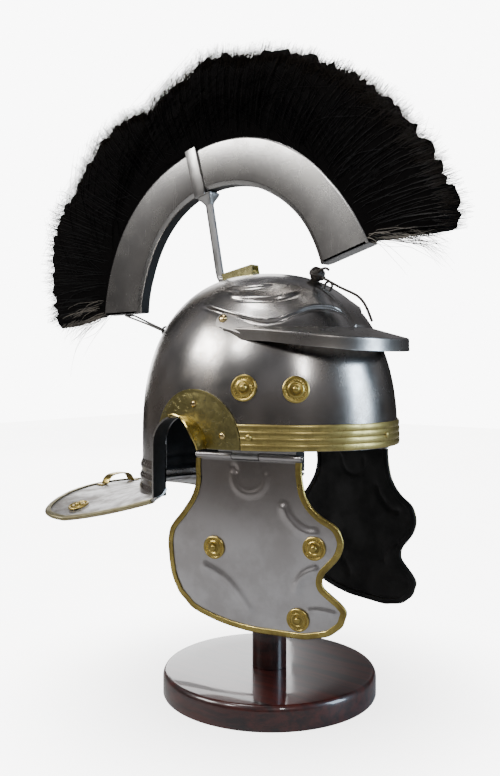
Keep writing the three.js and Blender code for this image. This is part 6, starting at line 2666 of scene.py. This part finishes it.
@dataclass(frozen=True)
class Fastenings:
    """The key box, the two eyes, the wire hook, the knot and the thong."""

    hook: Point = (-0.131, 0, 0.333)
    ring: float = 0.0044
    wire: float = 0.0011
    knot: Point = (0.052, 0, 0.379485)
    thong_radius: float = 0.0012
    thong_length: float = 0.0646
    staple: float = 0.0036
    spread: float = 0.007
    core: float = 0.005
    seed: int = 5

    # Points of the free end's middle line.
    THONG = (
        (0.0592, -0.0029, 0.375895), (0.0642, -0.0028, 0.373595), (0.0684, -0.0025, 0.371295),
        (0.0725, -0.0021, 0.368995), (0.0765, -0.0016, 0.366895), (0.0806, -0.0011, 0.364895),
        (0.0848, -0.0009, 0.363095), (0.089, -0.0007, 0.361195), (0.093, -0.0005, 0.358995),
        (0.0966, -0.0004, 0.356195), (0.0996, -0.0004, 0.352795), (0.1021, -0.0005, 0.348995),
        (0.1042, -0.0006, 0.344995), (0.1061, -0.0008, 0.340895), (0.108, -0.001, 0.336795),
    )

    # Tilt, spin, lift and radius of each coil.
    COILS = (
        (0.2, 0, 0.0018, 0.0056), (-0.3, 0.4, -0.0018, 0.0062), (1.45, 0.6, 0, 0.0054),
        (1.2, -0.7, 0.0004, 0.0048), (0.5, 1.3, 0.0009, 0.0046),
    )
    # Points of the short end, from the knot.
    TAIL = (
        (0.003, -0.003, 0.001), (0.008, -0.005, 0.0034), (0.013, -0.006, 0.004),
        (0.0165, -0.0066, 0.0022),
    )

    def eye(self, name: str, centre: Point, radius: float) -> Piece:
        """A wire ring standing in the XZ plane.

        Args:
            name: The ring's name.
            centre: Its centre.
            radius: The radius to the middle of the wire.

        Returns:
            The ring.
        """
        deselect()
        bpy.ops.mesh.primitive_torus_add(
            major_radius=radius, minor_radius=self.wire, major_segments=40, minor_segments=14
        )
        obj = named(name)
        obj.data.transform(Matrix.Translation(centre) @ Matrix.Rotation(math.pi / 2, 4, "X"))
        return obj

    def rear(self) -> None:
        """The eye behind the bowl and the hook that ties the crest box to it."""
        x, _, z = self.hook
        iron = IRON.build()
        share = float(SHAPE.plan_share(np.array(z)))
        wall = SHAPE.centre - SHAPE.half_length * share
        spots = [(x + self.ring, 0, z), ((x + wall) / 2, 0, z), (wall + 0.001, 0, z)]
        shank = wire("shank", spots, self.wire * 1.15)
        ring = joined("rear_ring_visual", [self.eye("eye", self.hook, self.ring), shank])
        fitted(smoothed(ring, 60), Body.HELMET, "dark_iron", [iron], "rear_ring")
        inner, outer = (float(r) for r in CREST.radii(CREST.first))
        end = CREST.point(CREST.first, (inner + outer) / 2 - 0.004, 0.0)
        top = end[2] - 0.9 * self.wire - 1.1 * GAP
        spread, seat = self.spread, self.ring - 1.9 * self.wire - GAP
        half = [
            (x - seat, 0, z), (x - seat - 0.0012, 0.0026, z + 0.001),
            ((x + end[0]) / 2, spread * 0.55, (z + top) / 2), (end[0] + 0.002, spread, top - 0.001),
            (end[0] - 0.0006, spread * 0.7, top), (end[0] - 0.001, 0, top),
        ]
        loop = half + [(a, -b, c) for a, b, c in half[-2:0:-1]]
        line = through(np.array(loop + [loop[0]]), 60)[:-1]
        hook = smoothed(wire("rear_hook_visual", line, self.wire * 0.9, cyclic=True), 60)
        fitted(hook, Body.HELMET, "dark_iron", [iron], "rear_hook")

    def front(self) -> None:
        """The staple, the knot and the thong."""
        x = self.knot[0] + 0.012
        z = float(SHAPE.crown(np.array(x), np.array(0.0))) + 0.0024
        eye = smoothed(self.eye("front_ring_visual", (x, 0, z), self.staple), 60)
        fitted(eye, Body.HELMET, "dark_iron", [IRON.build()], "front_ring")
        leather = Leather().build()
        rng = np.random.default_rng(self.seed)
        parts = []
        for tilt, spin, lift, size in self.COILS:
            turns = np.linspace(0, 2 * np.pi, 26, endpoint=False)
            wobble = size * (1 + 0.07 * np.sin(3 * turns + rng.uniform(0, 6)))
            wave = 0.0007 * np.sin(2 * turns + rng.uniform(0, 6))
            loop = np.column_stack([wobble * np.cos(turns), wobble * np.sin(turns), wave])
            turn = Matrix.Rotation(spin, 3, "Z") @ Matrix.Rotation(tilt, 3, "X")
            turn = Matrix.Rotation(0.35, 3, "Y") @ turn
            points = loop @ np.array(turn).T + np.array(self.knot) + (0, 0, lift)
            parts.append(wire("coil", points, self.thong_radius * 1.2, cyclic=True))
        deselect()
        bpy.ops.mesh.primitive_ico_sphere_add(subdivisions=3, radius=self.core)
        core = named("core")
        core.data.transform(Matrix.Translation(self.knot))
        tail = through(np.array(self.knot) + np.array(self.TAIL), 14)
        parts += [core, wire("tail", tail, self.thong_radius)]
        knot = smoothed(joined("thong_knot_visual", parts), 60)
        fitted(knot, Body.HELMET, "leather", [leather], "thong_knot")
        curve = route("thong_cord", through(np.array(self.THONG), 30), self.thong_radius)
        curve.data.splines[0].type = "POLY"
        fitted(curve, Body.HELMET, "leather", [leather], "thong")

    def build(self) -> None:
        """Makes all of them; the nodes that keep their shape get a finish."""
        self.rear()
        self.front()
        dressed = {"key_box": KEY_BRASS, "hinge_leaf": SATIN, "hinge_pin": RIVET_STEEL}
        for name, metal in dressed.items():
            finish = metal.build()
            for obj in bpy.data.objects:
                if obj.name.startswith(name):
                    obj.data.materials.clear()
                    obj.data.materials.append(finish)
        box = bpy.data.objects["key_box"]
        bevel = box.modifiers.new("bevel", "BEVEL")
        bevel.width, bevel.segments, bevel.limit_method = 0.0004, 2, "ANGLE"


# Floor, light and camera


@dataclass(frozen=True)
class Softbox:
    """A soft rectangular light, its sizes in metres and its power in watts."""

    name: str
    place: Point
    size: Pair
    power: float
    tint: Point = (1, 1, 1)


@dataclass(frozen=True)
class Studio:
    """The pale floor, the soft lights and the camera."""

    size: tuple[int, int] = (500, 776)
    glow: float = 9.0
    middle: Point = (0, 0, 0.28)
    camera: Point = (0.4821, -0.6421, 0.3060)
    tilt: float = 88.05
    turn: float = 38.18
    lens: float = 40.64
    sensor: float = 36
    floor_size: float = 6
    white: Colour = (9.0, 9.0, 9.0, 1)

    LIGHTS = (
        Softbox("key", (1.68, 0.62, 0.7), (0.6, 1.0), 27, (0.62, 0.8, 1)),
        Softbox("front", (1.22, -0.99, 1.15), (0.12, 0.35), 4),
        Softbox("window", (-1.1, -1.31, 1.33), (0.7, 0.5), 22, (1, 0.99, 0.97)),
        Softbox("lamp", (-0.29, -1.47, 1.5), (0.3, 0.3), 7),
        Softbox("wall", (-1.75, 1.4, 0.62), (1.3, 0.7), 12),
        Softbox("top", (-0.33, -0.4, 1.85), (0.4, 0.3), 6),
        Softbox("rim", (-1.23, 1.19, 1.11), (0.7, 0.5), 4),
    )

    def floor(self) -> None:
        """A wide pale floor, with a painted soft shadow round the stand."""
        deselect()
        bpy.ops.mesh.primitive_plane_add(size=self.floor_size, location=(0, 0, 0))
        plane = named("studio_floor")
        with editing(plane):
            bpy.ops.mesh.subdivide(number_cuts=8)
        material, graph, surface, at = shell("pale_floor")
        cloud = graph.noise(at, 3, 4)
        colour = graph.mix(cloud, (0.80, 0.79, 0.78, 1), (0.86, 0.855, 0.85, 1))
        base = graph.mix(cloud, (0.4, 0.395, 0.39, 1), (0.46, 0.455, 0.45, 1))
        reach = graph.add("VectorMath", operation="LENGTH", I0=at).outputs["Value"]
        # Painted contact shadow: the floor's glow dims towards the middle, round the stand.
        painted_contact_shadow = graph.span(reach, 0.06, 0.3, 0.45, 1)
        graph.put(surface, "Base Color", base)
        surface.inputs["Roughness"].default_value = 0.6
        seen = graph.add("LightPath").outputs["Is Camera Ray"]
        glow = graph.math("MULTIPLY", graph.math("MULTIPLY", seen, self.glow), painted_contact_shadow)
        graph.put(surface, "Emission Strength", glow)
        graph.put(surface, "Emission Color", colour)
        graph.bump(surface, 0.05, 0.001, graph.noise(at, 300, 3))
        plane.data.materials.clear()
        plane.data.materials.append(material)

    def softbox(self, box: Softbox) -> None:
        """Hangs one soft rectangular light, turned to the middle of the object.

        Args:
            box: The light.
        """
        light = bpy.data.lights.new(box.name, "AREA")
        light.shape, light.energy, light.color = "RECTANGLE", box.power, box.tint
        light.size, light.size_y = box.size
        obj = bpy.data.objects.new(box.name, light)
        bpy.context.scene.collection.objects.link(obj)
        obj.location = box.place
        way = Vector(self.middle) - Vector(box.place)
        obj.rotation_euler = way.to_track_quat("-Z", "Y").to_euler()

    def world(self) -> None:
        """White behind the object, and a dim room in what it mirrors."""
        world = bpy.data.worlds.new("studio")
        bpy.context.scene.world = world
        world.use_nodes = True
        graph = Graph(world.node_tree)
        at = graph.add("TexCoord").outputs["Generated"]
        up = graph.add("SeparateXYZ", Vector=at).outputs[2]
        walls = graph.span(graph.noise(at, 2.2, 3), 0.42, 0.62)
        low = graph.mix(walls, (0.02, 0.016, 0.013, 1), (0.12, 0.10, 0.085, 1))
        high = graph.mix(walls, (0.07, 0.07, 0.075, 1), (0.26, 0.26, 0.28, 1))
        room = graph.mix(graph.span(up, -0.2, 0.7), low, high)
        seen = graph.add("LightPath").outputs["Is Camera Ray"]
        colour = graph.mix(seen, room, self.white)
        back = graph.add("Background", Color=colour, Strength=1.0)
        graph.add("OutputWorld", Surface=back.outputs[0])

    def build(self) -> None:
        """Sets up everything."""
        self.floor()
        self.world()
        for box in self.LIGHTS:
            self.softbox(box)
        camera = bpy.data.cameras.new("camera")
        camera.lens, camera.sensor_width = self.lens, self.sensor
        obj = bpy.data.objects.new("camera", camera)
        bpy.context.scene.collection.objects.link(obj)
        obj.location = self.camera
        obj.rotation_euler = (math.radians(self.tilt), 0, math.radians(self.turn))
        scene = bpy.context.scene
        scene.camera = obj
        scene.render.resolution_x, scene.render.resolution_y = self.size


def main() -> None:
    """Builds every piece, then the studio."""
    logging.basicConfig(level=logging.INFO, format="%(message)s")
    Groups.build()
    Stand().build()
    Bowl().build()
    NeckTrim().build()
    EarGuard().build()
    BrowBand().build()
    BrowGuard().build()
    bosses = Bosses()
    bosses.build()
    CheekGuard().build(bosses)
    discard(bosses.pattern)
    CrestBox().build()
    CrestHair().build()
    CrestSupport().build()
    Fastenings().build()
    Studio().build()


if __name__ == "__main__":
    main()
